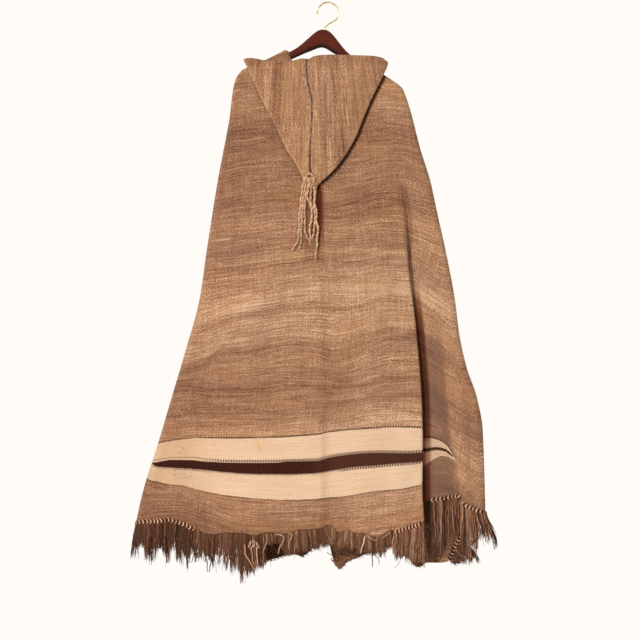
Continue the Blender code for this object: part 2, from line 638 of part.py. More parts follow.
def main():
    clear_scene()
    for name in ("burnous_cloak", "cutters"):
        collection = bpy.data.collections.get(name) or bpy.data.collections.new(name)
        if name not in bpy.context.scene.collection.children:
            bpy.context.scene.collection.children.link(collection)
    make_back()
    make_fronts()
    make_hood()
    make_tassel()
    make_braids()
    make_fringes()
    make_wood()
    make_hook()


main()
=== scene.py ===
import math

import bpy
import numpy as np
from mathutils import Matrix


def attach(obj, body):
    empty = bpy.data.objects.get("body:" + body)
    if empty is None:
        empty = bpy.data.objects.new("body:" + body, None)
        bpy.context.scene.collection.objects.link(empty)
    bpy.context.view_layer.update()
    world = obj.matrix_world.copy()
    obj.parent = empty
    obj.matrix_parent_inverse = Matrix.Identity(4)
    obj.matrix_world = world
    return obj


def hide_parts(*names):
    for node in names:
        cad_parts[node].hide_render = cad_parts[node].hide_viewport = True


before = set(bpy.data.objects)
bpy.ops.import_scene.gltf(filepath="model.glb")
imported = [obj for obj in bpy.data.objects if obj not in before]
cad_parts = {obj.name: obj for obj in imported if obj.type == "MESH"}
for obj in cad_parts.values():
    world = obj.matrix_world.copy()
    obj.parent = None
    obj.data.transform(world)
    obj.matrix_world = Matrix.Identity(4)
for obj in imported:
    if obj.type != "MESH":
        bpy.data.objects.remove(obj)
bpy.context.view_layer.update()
mm = 0.001

# Camera and light
view = {"place": (-0.0208, -3.0, -0.8242), "lens": 64.9, "sensor": 36.0}
light = {
    "key": {"place": (-3.2, -5.3, 1.6), "aim": (-0.05, 0, -0.75), "size": 0.6, "power": 395, "tint": (1.0, 0.955, 0.9)},
    "rim": {"place": (1.8, 3.0, 0.9), "aim": (0, 0, -0.8), "size": 1.4, "power": 60, "tint": (1.0, 0.98, 0.95)},
    # brightness of the air towards the viewer and beyond the cloak
    "air": (1.0, 0.97, 0.935), "airNear": 0.58, "airFar": 1.0,
    "floorDrop": 2.02, "floorSize": 1.15,
}


# Camera or lamp turned from its place towards a point
def aimed(item, place, aim):
    item.location = place
    away = np.array(place, float) - np.array(aim, float)
    item.rotation_euler = (math.acos(away[2] / np.linalg.norm(away)), 0, math.atan2(away[0], -away[1]))
    bpy.context.scene.collection.objects.link(item)
    return item


# Camera, two lamps, the air's glow and a pale floor
def setStage():
    camera = bpy.data.cameras.new("camera")
    camera.lens, camera.sensor_width = view["lens"], view["sensor"]
    x, y, z = view["place"]
    bpy.context.scene.camera = aimed(bpy.data.objects.new("camera", camera), view["place"], (x, y + 1, z))
    for name in ("key", "rim"):
        spec = light[name]
        lamp = bpy.data.lights.new(name + "Light", "AREA")
        lamp.shape, lamp.size, lamp.energy, lamp.color = "DISK", spec["size"], spec["power"], spec["tint"]
        aimed(bpy.data.objects.new(name + "Light", lamp), spec["place"], spec["aim"])
    world = bpy.data.worlds.new("air")
    world.use_nodes = True
    sky = Graph(world.node_tree)
    glow = world.node_tree.nodes["Background"].inputs
    glow[0].default_value = (*light["air"], 1)
    ahead = sky.split(sky.node("ShaderNodeTexCoord"))[1].step(-0.7, 0.7)
    sky.put(glow[1], ahead * (light["airFar"] - light["airNear"]) + light["airNear"])
    bpy.context.scene.world = world
    bpy.context.scene.view_settings.view_transform = "Standard"
    reach, drop = light["floorSize"], light["floorDrop"]
    flat = bpy.data.meshes.new("floor")
    flat.from_pydata([(-reach, -reach, -drop), (reach, -reach, -drop), (reach, reach, -drop), (-reach, reach, -drop)],
                     [], [(0, 1, 2, 3)])
    floor = bpy.data.objects.new("floor", flat)
    bpy.context.scene.collection.objects.link(floor)
    chalk = Finish("paleFloor", roughness=0.8)
    chalk.colour(chalk.over(paint("#EFE8DF"), chalk.noise(chalk.place(), 3, 3), "#F4EFE8"))
    floor.data.materials.append(chalk.material)


# Display colour code to linear colour
def paint(code):
    part = np.array([int(code[i:i + 2], 16) for i in (1, 3, 5)]) / 255
    part = np.where(part <= 0.04045, part / 12.92, ((part + 0.055) / 1.055) ** 2.4)
    return (*part.tolist(), 1.0)


# Method that joins a signal and another value by a Math node, in turned order if asked
def pairMaths(operation, turned=False):
    return lambda self, other: self.maths(operation, *((other, self) if turned else (self, other)))


# A value or colour in a material; arithmetic on it adds Math nodes
class Signal:
    def __init__(self, graph, socket):
        self.graph, self.socket = graph, socket

    def maths(self, operation, *values):
        return self.graph.node("ShaderNodeMath", {"operation": operation}, dict(enumerate(values)))

    __add__, __radd__ = pairMaths("ADD"), pairMaths("ADD", True)
    __sub__, __rsub__ = pairMaths("SUBTRACT"), pairMaths("SUBTRACT", True)
    __mul__, __rmul__ = pairMaths("MULTIPLY"), pairMaths("MULTIPLY", True)
    __truediv__, power = pairMaths("DIVIDE"), pairMaths("POWER")

    def __abs__(self):
        return self.maths("ABSOLUTE", self)

    def sine(self):
        return self.maths("SINE", self)

    # 0 below low, 1 above high, soft between
    def step(self, low, high):
        return self.graph.node("ShaderNodeMapRange", {"interpolation_type": "SMOOTHSTEP"},
                               {0: self, 1: low, 2: high, 3: 0.0, 4: 1.0})

    # 1 from low to high, 0 outside
    def between(self, low, high, soft=0.0005):
        return self.step(low - soft, low + soft) * (1 - self.step(high - soft, high + soft))


# Nodes being built: node() takes a node's type, its settings and the values of its sockets
class Graph:
    def __init__(self, tree):
        self.tree = tree

    def node(self, kind, settings=None, values=None, output=0):
        node = self.tree.nodes.new(kind)
        for key, value in (settings or {}).items():
            if key == "stops":
                ramp = node.color_ramp
                for _ in range(len(value) - 2):
                    ramp.elements.new(0.5)
                for element, (at, tint) in zip(ramp.elements, value):
                    element.position, element.color = at, tint
            else:
                setattr(node, key, value)
        for key, value in (values or {}).items():
            self.put(node.inputs[key], value)
        return Signal(self, node.outputs[output])

    def put(self, socket, value):
        if isinstance(value, Signal):
            self.tree.links.new(value.socket, socket)
        else:
            socket.default_value = value

    def split(self, vector):
        node = self.node("ShaderNodeSeparateXYZ", values={0: vector}).socket.node
        return [Signal(self, node.outputs[i]) for i in range(3)]

    def vector(self, x, y, z=0.0):
        return self.node("ShaderNodeCombineXYZ", values={0: x, 1: y, 2: z})

    def noise(self, vector, scale=1.0, detail=2, roughness=0.5, distortion=0.0):
        return self.node("ShaderNodeTexNoise", values={
            "Vector": vector, "Scale": scale, "Detail": detail, "Roughness": roughness, "Distortion": distortion})

    def spots(self, vector, scale=1.0):
        return self.node("ShaderNodeTexVoronoi", values={"Vector": vector, "Scale": scale})

    def ramp(self, value, *stops, interpolation="LINEAR"):
        signal = self.node("ShaderNodeValToRGB", {"stops": stops}, {0: value})
        signal.socket.node.color_ramp.interpolation = interpolation
        return signal

    # Smooth curve of value through a table of any length: ramps one after the other, each starting where one ends
    def profile(self, value, table, rampRows=30):
        low, high = table[0][0], table[-1][0]
        scaled, total = (value - low) / (high - low), 0.0
        for first in range(0, len(table) - 1, rampRows):
            rows = table[first:first + rampRows + 1]
            stops = [((at - low) / (high - low), (tone, tone, tone, 1.0)) for at, tone in rows]
            total = self.ramp(scaled, *stops, interpolation="EASE") + total - (rows[0][1] if first else 0.0)
        return total

    def mix(self, share, first, second, blend="MIX"):
        return self.node("ShaderNodeMix", {"data_type": "RGBA", "blend_type": blend},
                         {0: share, 6: first, 7: second}, output=2)

    # Noise over a cloth: cells per metre across and down, and which of its slices
    def grain(self, u, v, across, down, piece=0.0, detail=2, roughness=0.5):
        return self.noise(self.vector(u * across, v * down, piece), 1, detail, roughness)

    # A colour laid over another by a share
    def over(self, under, share, code):
        return self.mix(share, under, paint(code))

    # A colour multiplied by a tint, by a share
    def deepen(self, under, share, tint):
        return self.mix(share, under, self.mix(1.0, under, tint, "MULTIPLY"))

    def colours(self, value, *stops):
        return self.ramp(value, *[(at, paint(code)) for at, code in stops])


# A material: its nodes, and the inputs of its shader
class Finish(Graph):
    def __init__(self, name, **shader):
        self.material = bpy.data.materials.new(name)
        self.material.use_nodes = True
        super().__init__(self.material.node_tree)
        self.shader = self.tree.nodes["Principled BSDF"]
        for key, value in shader.items():
            self.shader.inputs[key.replace("_", " ").title().replace("Ior", "IOR")].default_value = value

    def place(self):
        return self.node("ShaderNodeTexCoord", output=3)

    def weave(self):
        return self.split(self.node("ShaderNodeUVMap", {"uv_map": "weave"}))[:2]

    def own(self, name):
        return self.node("ShaderNodeAttribute", {"attribute_name": name}, output=2)

    def colour(self, value):
        self.put(self.shader.inputs["Base Color"], value)

    def roughness(self, value):
        self.put(self.shader.inputs["Roughness"], value)

    def relief(self, height, depth, strength=1.0):
        bump = self.node("ShaderNodeBump", values={"Height": height, "Distance": depth, "Strength": strength})
        self.put(self.shader.inputs["Normal"], bump)


wool = {
    # pitch of the warp and of the weft in metres
    "warp": 0.0024, "weft": 0.00115,
    # tones from the darkest to the lightest yarn
    "tones": ((0.0, "#6A4633"), (0.2, "#815A43"), (0.4, "#936A4F"), (0.6, "#A47A5D"), (0.8, "#B68D6C"),
              (1.0, "#D0AD8C")),
    # tone of the weft down the back: place along the warp in metres, tone
    "zones": ((0.0, 0.5), (0.2, 0.52), (0.25, 0.54), (0.275, 0.49), (0.3, 0.4), (0.345, 0.2), (0.37, 0.31), (0.4, 0.33),
              (0.44, 0.4), (0.48, 0.42), (0.525, 0.33), (0.57, 0.52), (0.615, 0.5), (0.63, 0.46), (0.65, 0.56),
              (0.668, 0.5), (0.69, 0.58), (0.72, 0.64), (0.755, 0.77), (0.775, 0.74), (0.79, 0.6), (0.81, 0.71),
              (0.828, 0.65), (0.85, 0.72), (0.868, 0.64), (0.888, 0.42), (0.91, 0.46), (0.93, 0.56), (0.975, 0.48),
              (0.992, 0.3), (1.01, 0.42), (1.03, 0.5), (1.05, 0.42), (1.075, 0.54), (1.11, 0.7), (1.13, 0.66),
              (1.28, 0.6), (1.31, 0.56), (1.33, 0.5), (1.35, 0.4), (1.4, 0.32), (1.5, 0.34)),
    "bandTop": 1.123, "darkTop": 1.1865, "darkBottom": 1.219, "bandBottom": 1.285,
    "tooth": 0.0069, "comb": (0.0002, 0.0064),
    # streaks: cells per metre across and down, slice, detail, amount; lumps of the relief: the same without detail
    "streaks": ((3.2, 38, 0.0, 3, 0.35), (7, 215, 3.1, 3, 0.95), (18, 350, 1.7, 2, 1.0), (290, 330, 8.0, 2, 2.0),
                (60, 90, 8.4, 3, 0.4), (170, 14, 5.2, 2, 0.45)),
    "lumps": ((190, 520, 0.0, 0.9), (140, 10, 0.0, 1.0), (330, 330, 4.0, 0.8)),
    # patches of flecks: place across and along, half widths, share; the stain has a slope before its share
    "flecks": ((-0.33, 1.15, 0.024, 0.022, 1.0), (-0.318, 1.243, 0.045, 0.026, 0.85)),
    "stain": (-0.126, 1.146, 0.006, 0.019, 0.33, 0.4),
    # single yarns: place along the warp, start and end across it, half width, strength; dark ones, then pale ones
    "darkLines": ((0.670, -0.145, 0.03, 0.0015, 0.75), (0.672, 0.05, 0.2, 0.0011, 0.5),
                  (0.9935, -0.36, -0.09, 0.0013, 0.6),
                  (0.8885, -0.3, -0.02, 0.0014, 0.45), (0.5205, -0.26, -0.12, 0.0012, 0.4),
                  (0.7835, -0.2, 0.05, 0.0016, 0.4),
                  (1.047, 0.03, 0.2, 0.0013, 0.4), (1.3005, -0.3, -0.2, 0.0012, 0.35)),
    "paleLines": ((0.353, -0.24, -0.12, 0.001, 0.6), (0.462, 0.02, 0.11, 0.001, 0.55), (0.5, 0.04, 0.12, 0.001, 0.5),
                  (0.43, -0.25, -0.15, 0.001, 0.45), (0.96, -0.18, -0.06, 0.001, 0.5), (0.585, 0.03, 0.12, 0.001, 0.4)),
}


# Height of the weave: weft yarns in rows, crossed by warp ribs, and thicker yarn here and there
def weaveRelief(finish, u, v):
    row = abs((v * (math.pi / wool["weft"])).sine())
    rib = (u * (2 * math.pi / wool["warp"])).sine() * 0.5 + 0.5
    height = row * 0.3 + rib * 0.25
    for across, down, piece, amount in wool["lumps"]:
        height = height + finish.grain(u, v, across, down, piece) * amount
    return height


# Single yarns: each shows by its strength on its line, fading over its half width and towards both ends
def addYarns(finish, cloth, u, v, wander, lines, code, fade=0.02):
    for at, start, end, half, strength in lines:
        across = 1 - abs(v + wander - at).step(half * 0.3, half)
        share = across * u.step(start, start + fade) * (1 - u.step(end - fade, end)) * strength
        cloth = finish.over(cloth, share, code)
    return cloth


# Heather wool. Tone = slow zones along the warp + soft streaks along the weft, at six sizes, with painted light and
# painted shade added from the marks lift, grey, fromHood and shade where asked
def makeWool(name, crosswise=False, banded=True, shaded=True, zones=None, hue=0.0, seamed=False):
    finish = Finish(name, roughness=0.95, sheen_weight=0.04, sheen_roughness=0.5, specular_ior_level=0.12)
    u, v = finish.weave()
    if crosswise:
        u, v = v, u
    drift = (finish.grain(u, v, 2.5, 3, 0.0, 3) - 0.5) * 0.022
    tone = finish.profile(v + drift, zones or wool["zones"])
    # painted light and painted shade: the mark lift makes the tone lighter or darker
    if banded or shaded:
        tone = tone + finish.own("lift")
    for across, down, piece, detail, amount in wool["streaks"]:
        tone = tone + (finish.grain(u, v, across, down, piece, detail, 0.6) - 0.5) * amount
    cloth = finish.colours(tone, *wool["tones"])
    # greyer wool and more golden wool in soft patches, then short pale and dark slubs
    cast = finish.grain(u, v, 3.5, 15, 6.0, 3) + hue
    slub = finish.grain(u, v, 8, 360, 11.0)
    for share, code in ((cast.step(0.5, 0.74) * 0.4, "#7C5B4C"), (cast.step(0.5, 0.28) * 0.3, "#AA7C50"),
                        (slub.step(0.66, 0.74) * (0.35 if seamed else 0.55), "#CDA987"),
                        (slub.step(0.34, 0.26) * 0.5, "#5A3A2B")):
        cloth = finish.over(cloth, share, code)
    height = weaveRelief(finish, u, v)
    if banded:
        # painted shade: the set-back panel left of its fold turned greyer and darker by the mark grey
        cloth = finish.over(cloth, finish.own("grey") * 0.42, "#7D5F55")
        wander = (finish.grain(u, v, 22, 6, 2.0) - 0.5) * 0.004
        cloth = addYarns(finish, cloth, u, v, wander, wool["darkLines"], "#4A2D20")
        cloth = addYarns(finish, cloth, u, v, wander, wool["paleLines"], "#D2AE8E")
        cloth = addBands(finish, u, v, cloth)
    if seamed:
        cloth = addSeam(finish, u, v, cloth)
    if banded and shaded:
        # painted shadow: thin dark line beside the hood's right edge
        high = finish.split(finish.place())[2]
        line = finish.own("fromHood").between(-0.012, 0.0074, 0.0018) * high.between(-0.49, -0.172, 0.006)
        cloth = finish.over(cloth, line * 0.72, "#4A2413")
    if shaded:
        # painted shade by the mark shade: twice towards a reddish brown
        for _ in range(2):
            cloth = finish.deepen(cloth, finish.own("shade"), (0.5, 0.33, 0.24, 1))
    finish.colour(cloth)
    finish.relief(height, 0.0011, 0.9)
    return finish.material


# Dark broken line along a seam, greyish worn wool on one side of it, and dark yarns further off; also a painted
# highlight along the hood's left edge, by the mark worn
def addSeam(finish, u, v, cloth):
    broken = finish.grain(u, v, 26, 0, 3.0, 3)
    wander = (finish.grain(u, v, 60, 0, 7.0) - 0.5) * 0.003
    aside = finish.own("aside") + wander
    worn = finish.grain(u, aside, 90, 260, 5.0, 3).step(0.4, 0.62)
    grey = finish.grain(u, aside, 120, 200, 9.0, 2).step(0.5, 0.62)
    low = aside.between(-0.0034, 0.003, 0.0012) * u.step(0.385, 0.4) * (0.35 + worn * 0.65)
    # the last of these shares is a painted highlight along the hood's left edge
    for share, code in ((aside.between(-0.013, -0.001, 0.003) * worn * 0.75, "#BD9C7E"),
                        (aside.between(-0.014, 0.004, 0.002) * (1 - u.step(0.25, 0.34)) * grey * 0.6, "#6A4C4C"),
                        (low * 0.8, "#4C3038"), (finish.own("worn") * (0.1 + broken * 0.35), "#CBA57E")):
        cloth = finish.over(cloth, share, code)
    cloth = addYarns(finish, cloth, u, v, wander, hood["darkLines"], "#553325")
    return finish.over(cloth, (1 - abs(aside).step(0.0008, 0.0036)) * (0.25 + broken.step(0.3, 0.6) * 0.75), "#3A2020")


# Cream band with a dark one along its middle. Edges = band limits + a slow wander + teeth at every few warps
def addBands(finish, u, v, cloth):
    shown = finish.own("banded")
    top, bottom, darkTop, darkBottom = (wool[key] for key in ("bandTop", "bandBottom", "darkTop", "darkBottom"))
    edge = v + (finish.grain(u, v, 55, 8, 2.0) - 0.5) * 0.0024
    wave = (u * (2 * math.pi / wool["tooth"])).sine()
    toothed = wave.step(-0.5, -0.1)
    ragged = finish.grain(u, v, 45, 0, 4.0, 3, 0.7)
    teeth = wave.step(0.0, 0.4) * (ragged.step(0.3, 0.6) * 0.0025 + 0.0022)
    streak = finish.grain(u, v, 9, 280, 9.0, 3, 0.6)
    cream = finish.colours(streak, (0.25, "#D0AD8C"), (0.45, "#DAB99B"), (0.6, "#DFC1A3"), (0.85, "#E5CBB0"))
    # soiled patches, a browner left end, short brown slubs, warp marks and a trace of the teeth
    soiled = finish.grain(u, v, 7, 18, 3.0, 3)
    for share, code in ((soiled.step(0.45, 0.75) * 0.4, "#D1AF8F"), (u.step(-0.16, -0.36) * 0.5, "#C8A07B"),
                        (finish.grain(u, v, 40, 520, 7.0, 1).step(0.69, 0.74) * 0.5, "#94704F"),
                        (finish.grain(u, v, 210, 40, 1.0).step(0.55, 0.75) * 0.25, "#C9A583"),
                        (toothed * soiled.step(0.35, 0.6) * 0.08, "#A97F5C")):
        cream = finish.over(cream, share, code)
    cream = addMarks(finish, u, v, cream)
    dark = finish.colours(finish.grain(u, v, 90, 330, 2.0), (0.3, "#2A0F06"), (0.7, "#421D11"))
    dark = finish.over(dark, u.step(-0.02, 0.1) * 0.35, "#613A2B")
    # comb of dark warps just above the dark band, and below it towards the right
    low, high = wool["comb"]
    apart = (1 - u.step(-0.075, -0.055)) * 0.001
    comb = edge.between(darkTop - high - apart, darkTop - low - apart) * u.step(-0.3, -0.2)
    comb = (comb + edge.between(darkBottom + low, darkBottom + high) * u.step(0.08, 0.1)) * toothed * shown
    cloth = finish.mix(edge.between(top, bottom) * shown, cloth, cream)
    # thin dashed brown yarns beside the dark band, at its narrow end
    thin = edge.between(darkTop - 0.0095, darkTop - 0.0068) + edge.between(darkBottom + 0.0045, darkBottom + 0.0068)
    cloth = finish.over(cloth, thin * u.step(-0.2, -0.3) * shown * (0.35 + ragged * 0.6), "#6E4A34")
    cloth = finish.mix(edge.between(darkTop, darkBottom + teeth) * shown, finish.over(cloth, comb, "#3A1C12"), dark)
    # soft rim and dark dots of warp along the outer edges of the cream
    patchy = finish.grain(u, v, 14, 20, 5.0, 3)
    rim = edge.between(top - 0.0042, top + 0.0004) + edge.between(bottom - 0.0004, bottom + 0.0036)
    cloth = finish.over(cloth, rim * patchy.step(0.6, 0.4) * shown * 0.12, "#6B4733")
    dots = toothed * (patchy.step(0.36, 0.5) * 0.8 + 0.2 * (1 - v.step(1.2, 1.25))) * shown * rim
    return finish.over(cloth, dots, "#351A10")


# Brown flecks near the left end of the cream, and one faint orange stain
def addMarks(finish, u, v, cream):
    fleck = finish.spots(finish.vector(u * 240, v * 280)).step(0.42, 0.25)
    for atU, atV, wideU, wideV, share in wool["flecks"]:
        near = ((u - atU) / wideU).power(2) + ((v - atV) / wideV).power(2)
        sparse = finish.grain(u, v, 150, 150, atV, 1).step(0.45, 0.55)
        cream = finish.over(cream, near.step(1.0, 0.2) * fleck * sparse * share, "#6E4A2E")
    atU, atV, wideU, wideV, slope, share = wool["stain"]
    near = ((u - atU - (v - 1.144) * slope) / wideU).power(2) + ((v - atV) / wideV).power(2)
    return finish.over(cream, near.step(1.3, 0.0) * share, "#DC9A54")


# Twisted yarn on tubes: the weave map is once round by metres along; tone picks the colour
def makeYarn(name, *tones, ply=0.004):
    finish = Finish(name, roughness=0.92, sheen_weight=0.04, sheen_roughness=0.5, specular_ior_level=0.15)
    around, run = finish.weave()
    tone = finish.own("tone")
    hair = finish.noise(finish.vector(around * 3, run * 120, tone * 40), 1, 2)
    cloth = finish.colours(tone + (hair - 0.5) * 0.35, *tones)
    twist = ((around + run / ply) * (2 * math.pi)).sine() * 0.5 + 0.5
    # painted shade: darker along the spiral groove between the plies
    finish.colour(finish.deepen(cloth, twist * 0.3, (0.45, 0.4, 0.38, 1)))
    finish.relief(twist + hair * 0.7, 0.0006, 0.8)
    return finish.material


# Dark red varnished wood: long grain along the arms with fine dark pores, and painted shade on the underside
def makeMahogany():
    finish = Finish("mahoganyVarnish", coat_roughness=0.2, specular_ior_level=0.12)
    x, y, z = finish.split(finish.place())
    grain = finish.noise(finish.vector(x * 9, y * 120, z * 150), 1, 4, 0.6, 0.8)
    pore = finish.noise(finish.vector(x * 30, y * 500, z * 700), 1, 2, 0.6)
    wood = finish.colours(grain, (0.25, "#381007"), (0.5, "#4F190A"), (0.75, "#5E210D"))
    wood = finish.over(wood, pore.step(0.58, 0.7) * 0.5, "#220A07")
    # painted shade on the underside, by the mark shade
    finish.colour(finish.over(wood, finish.own("shade") * 0.85, "#1E0805"))
    finish.roughness(0.5 + pore * 0.2)
    finish.put(finish.shader.inputs["Coat Weight"], 0.03)
    finish.relief(grain + pore * 0.5, 0.0002, 0.5)
    return finish.material


# Yellow brass wire, a little uneven in colour and gloss
def makeBrass():
    finish = Finish("brassWire", metallic=1.0)
    place = finish.place()
    finish.colour(finish.colours(finish.noise(place, 160, 3), (0.35, "#B79A5E"), (0.55, "#E2CB92"), (0.8, "#F0DFB4")))
    finish.roughness(0.2 + finish.noise(place, 420, 2) * 0.25)
    finish.relief(finish.noise(place, 700, 2), 0.00006, 0.6)
    return finish.material


# The hanging cloak's shape, in millimetres: drop is the distance below the hook's rest
cloak = {
    # half a gap between the fronts at the middle, and a gap at each side seam
    "wall": 2.6, "middleGap": 0.25, "seamGap": 0.5,
    "outlineLeft": ((125, -113), (155, -174), (173, -219), (187, -233), (216, -244), (300, -255), (460, -285),
                    (650, -315), (772, -333), (897, -367), (1022, -404), (1147, -441), (1271, -480), (1400, -508)),
    "outlineRight": ((129, 58), (187, 143), (205, 171), (222, 192), (240, 200), (283, 214), (380, 239), (460, 264),
                     (546, 283), (650, 306), (772, 329), (860, 340), (950, 360), (1022, 385), (1110, 401), (1400, 410)),
    "pleatEdge": ((125, 34), (187, 94), (240, 143), (300, 158), (447, 192), (546, 201), (666, 206), (850, 226),
                  (1032, 240), (1130, 242.5), (1251, 241.5), (1400, 251)),
    "pleatStart": 390, "pleatFull": 840, "pleatTurn": 4.6, "pleatSoft": 10.0, "pleatOverlap": 20, "pleatSpread": 0.02,
    "sideTurn": ((125, 8.8), (210, 9.5), (300, 12), (500, 14), (900, 18), (1400, 22)),
    "backDepth": ((125, 9.6), (210, 12), (300, 16), (500, 24), (900, 35), (1400, 44)),
    "frontDepth": ((125, 9.6), (210, 11), (300, 14), (500, 18), (900, 24), (1400, 30)),
    "sideWrap": ((125, 14), (210, 24), (500, 40), (1400, 60)),
    # folds: x and drop of both ends, width to the left, width to the right, height
    "backFolds": ((-26, 620, -18, 1480, 75, 13, 4.5), (-258, 430, -272, 780, 22, 45, 4.5),
                  (-218, 720, -262, 1180, 34, 120, 6.0), (150, 480, 120, 900, 60, 30, 3.5),
                  (-120, 300, -100, 760, 60, 90, 3.0), (-404, 1130, -420, 1500, 40, 45, 6.0),
                  (-300, 1180, -318, 1500, 40, 40, -5.0), (-165, 1100, -190, 1500, 45, 50, 5.0),
                  (92, 1050, 70, 1500, 45, 35, 5.0), (180, 1150, 190, 1500, 30, 25, 4.0),
                  (296, 760, 343, 1500, 52, 13, -14.0), (338, 860, 372, 1500, 18, 26, 7.0)),
    "frontFolds": ((-170, 420, -230, 1560, 50, 60, 6.0), (-80, 700, -95, 1560, 35, 45, -5.0),
                   (90, 500, 45, 1560, 45, 40, 6.0), (170, 800, 175, 1560, 26, 26, -8.0),
                   (200, 900, 240, 1560, 30, 30, 7.0)),
    "crease": ((640, -30), (667, -26), (771, -21), (883, -13), (1000, -10.5), (1135, -17), (1312, -19.5), (1400, -20)),
    # painted light (above 0) and painted shade (below 0) on the right half of the back, by drop
    "rightPaintedLight": ((300, 0.05), (400, 0.09), (470, 0.0), (515, -0.13), (600, -0.01), (690, 0.09), (850, 0.02),
                  (1030, 0.14),
                  (1120, 0.06), (1300, 0.18)),
    # the set-back panel: its fold, and painted light and shade right of it, by drop
    "setBackFold": ((760, 296), (1030, 311), (1107, 319), (1150, 325), (1184, 333), (1235, 342), (1274, 347),
                    (1500, 360)),
    "outerPaintedLight": ((820, 0.04), (900, 0.02), (980, -0.02), (1100, 0.06), (1160, 0.0), (1220, 0.04)),
    "neckBack": ((0, 128), (0.65, 124.5), (1, 126), (1.137, 132.7), (1.33, 151.6), (1.45, 160), (1.53, 164),
                 (1.69, 166),
                 (1.83, 162), (1.96, 155), (2.5, 151), (3, 149), (3.5, 147), (4, 146), (4.35, 145), (5, 146)),
    "hemBack": ((0, 1375), (0.55, 1357), (1, 1344.5), (1.045, 1344), (1.09, 1338.5), (1.12, 1343.5), (1.155, 1352.5),
                (1.18, 1361.5), (1.2, 1371), (1.223, 1378), (1.26, 1378), (1.3, 1373), (1.365, 1373), (1.4, 1379),
                (1.447, 1371), (1.501, 1374), (1.53, 1373), (1.55, 1365), (1.635, 1361), (1.655, 1354), (1.672, 1354),
                (1.69, 1366), (1.7, 1371), (1.73, 1363), (1.745, 1370), (1.793, 1373), (1.835, 1384), (1.85, 1380),
                (1.878, 1367), (1.893, 1361), (1.905, 1365), (1.94, 1358), (1.97, 1352), (2, 1346), (2.5, 1326),
                (3, 1295),
                (3.28, 1289), (3.5, 1285), (3.72, 1281), (3.76, 1293), (3.79, 1300), (3.9, 1309), (4, 1316),
                (4.35, 1328), (5, 1386)),
    "neckLeft": ((0, 128), (0.2, 135), (0.3, 144), (0.38, 155), (0.5, 162), (0.65, 174), (0.8, 200), (1, 236)),
    "neckRight": ((0, 146), (0.38, 150), (0.5, 156), (0.65, 173), (0.8, 201), (1, 236)),
    "hemLeft": ((0, 1375), (0.3, 1395), (0.5, 1422), (0.62, 1457), (0.7, 1449), (0.75, 1442), (0.8, 1439),
                (0.845, 1443),
                (0.88, 1436), (0.92, 1419), (0.94, 1412), (1, 1408)),
    "hemRight": ((0, 1386), (0.05, 1418), (0.1, 1456), (0.15, 1460), (0.27, 1461), (0.29, 1468), (0.327, 1473),
                 (0.376, 1463), (0.385, 1449), (0.485, 1439), (0.505, 1416), (0.56, 1420), (0.63, 1431), (0.73, 1439),
                 (0.77, 1446), (0.866, 1460), (0.91, 1475), (0.93, 1477), (0.96, 1468), (0.985, 1442), (1, 1416)),
    "middleLeft": ((236, -16), (470, -16), (1000, -8), (1480, 2)),
    "middleRight": ((236, -16), (470, -16), (1000, -4), (1480, 6)),
    # weft lines at the bands' edges, each with its least distance below the one before; rows of the grid between them
    "edgeLines": ((10, 0), (11, 20), (12, 8), (13, 20)), "rows": (98, 12, 7, 12, 24),
}
# Way out from the middle to each side
outward = {"Left": -1, "Right": 1}
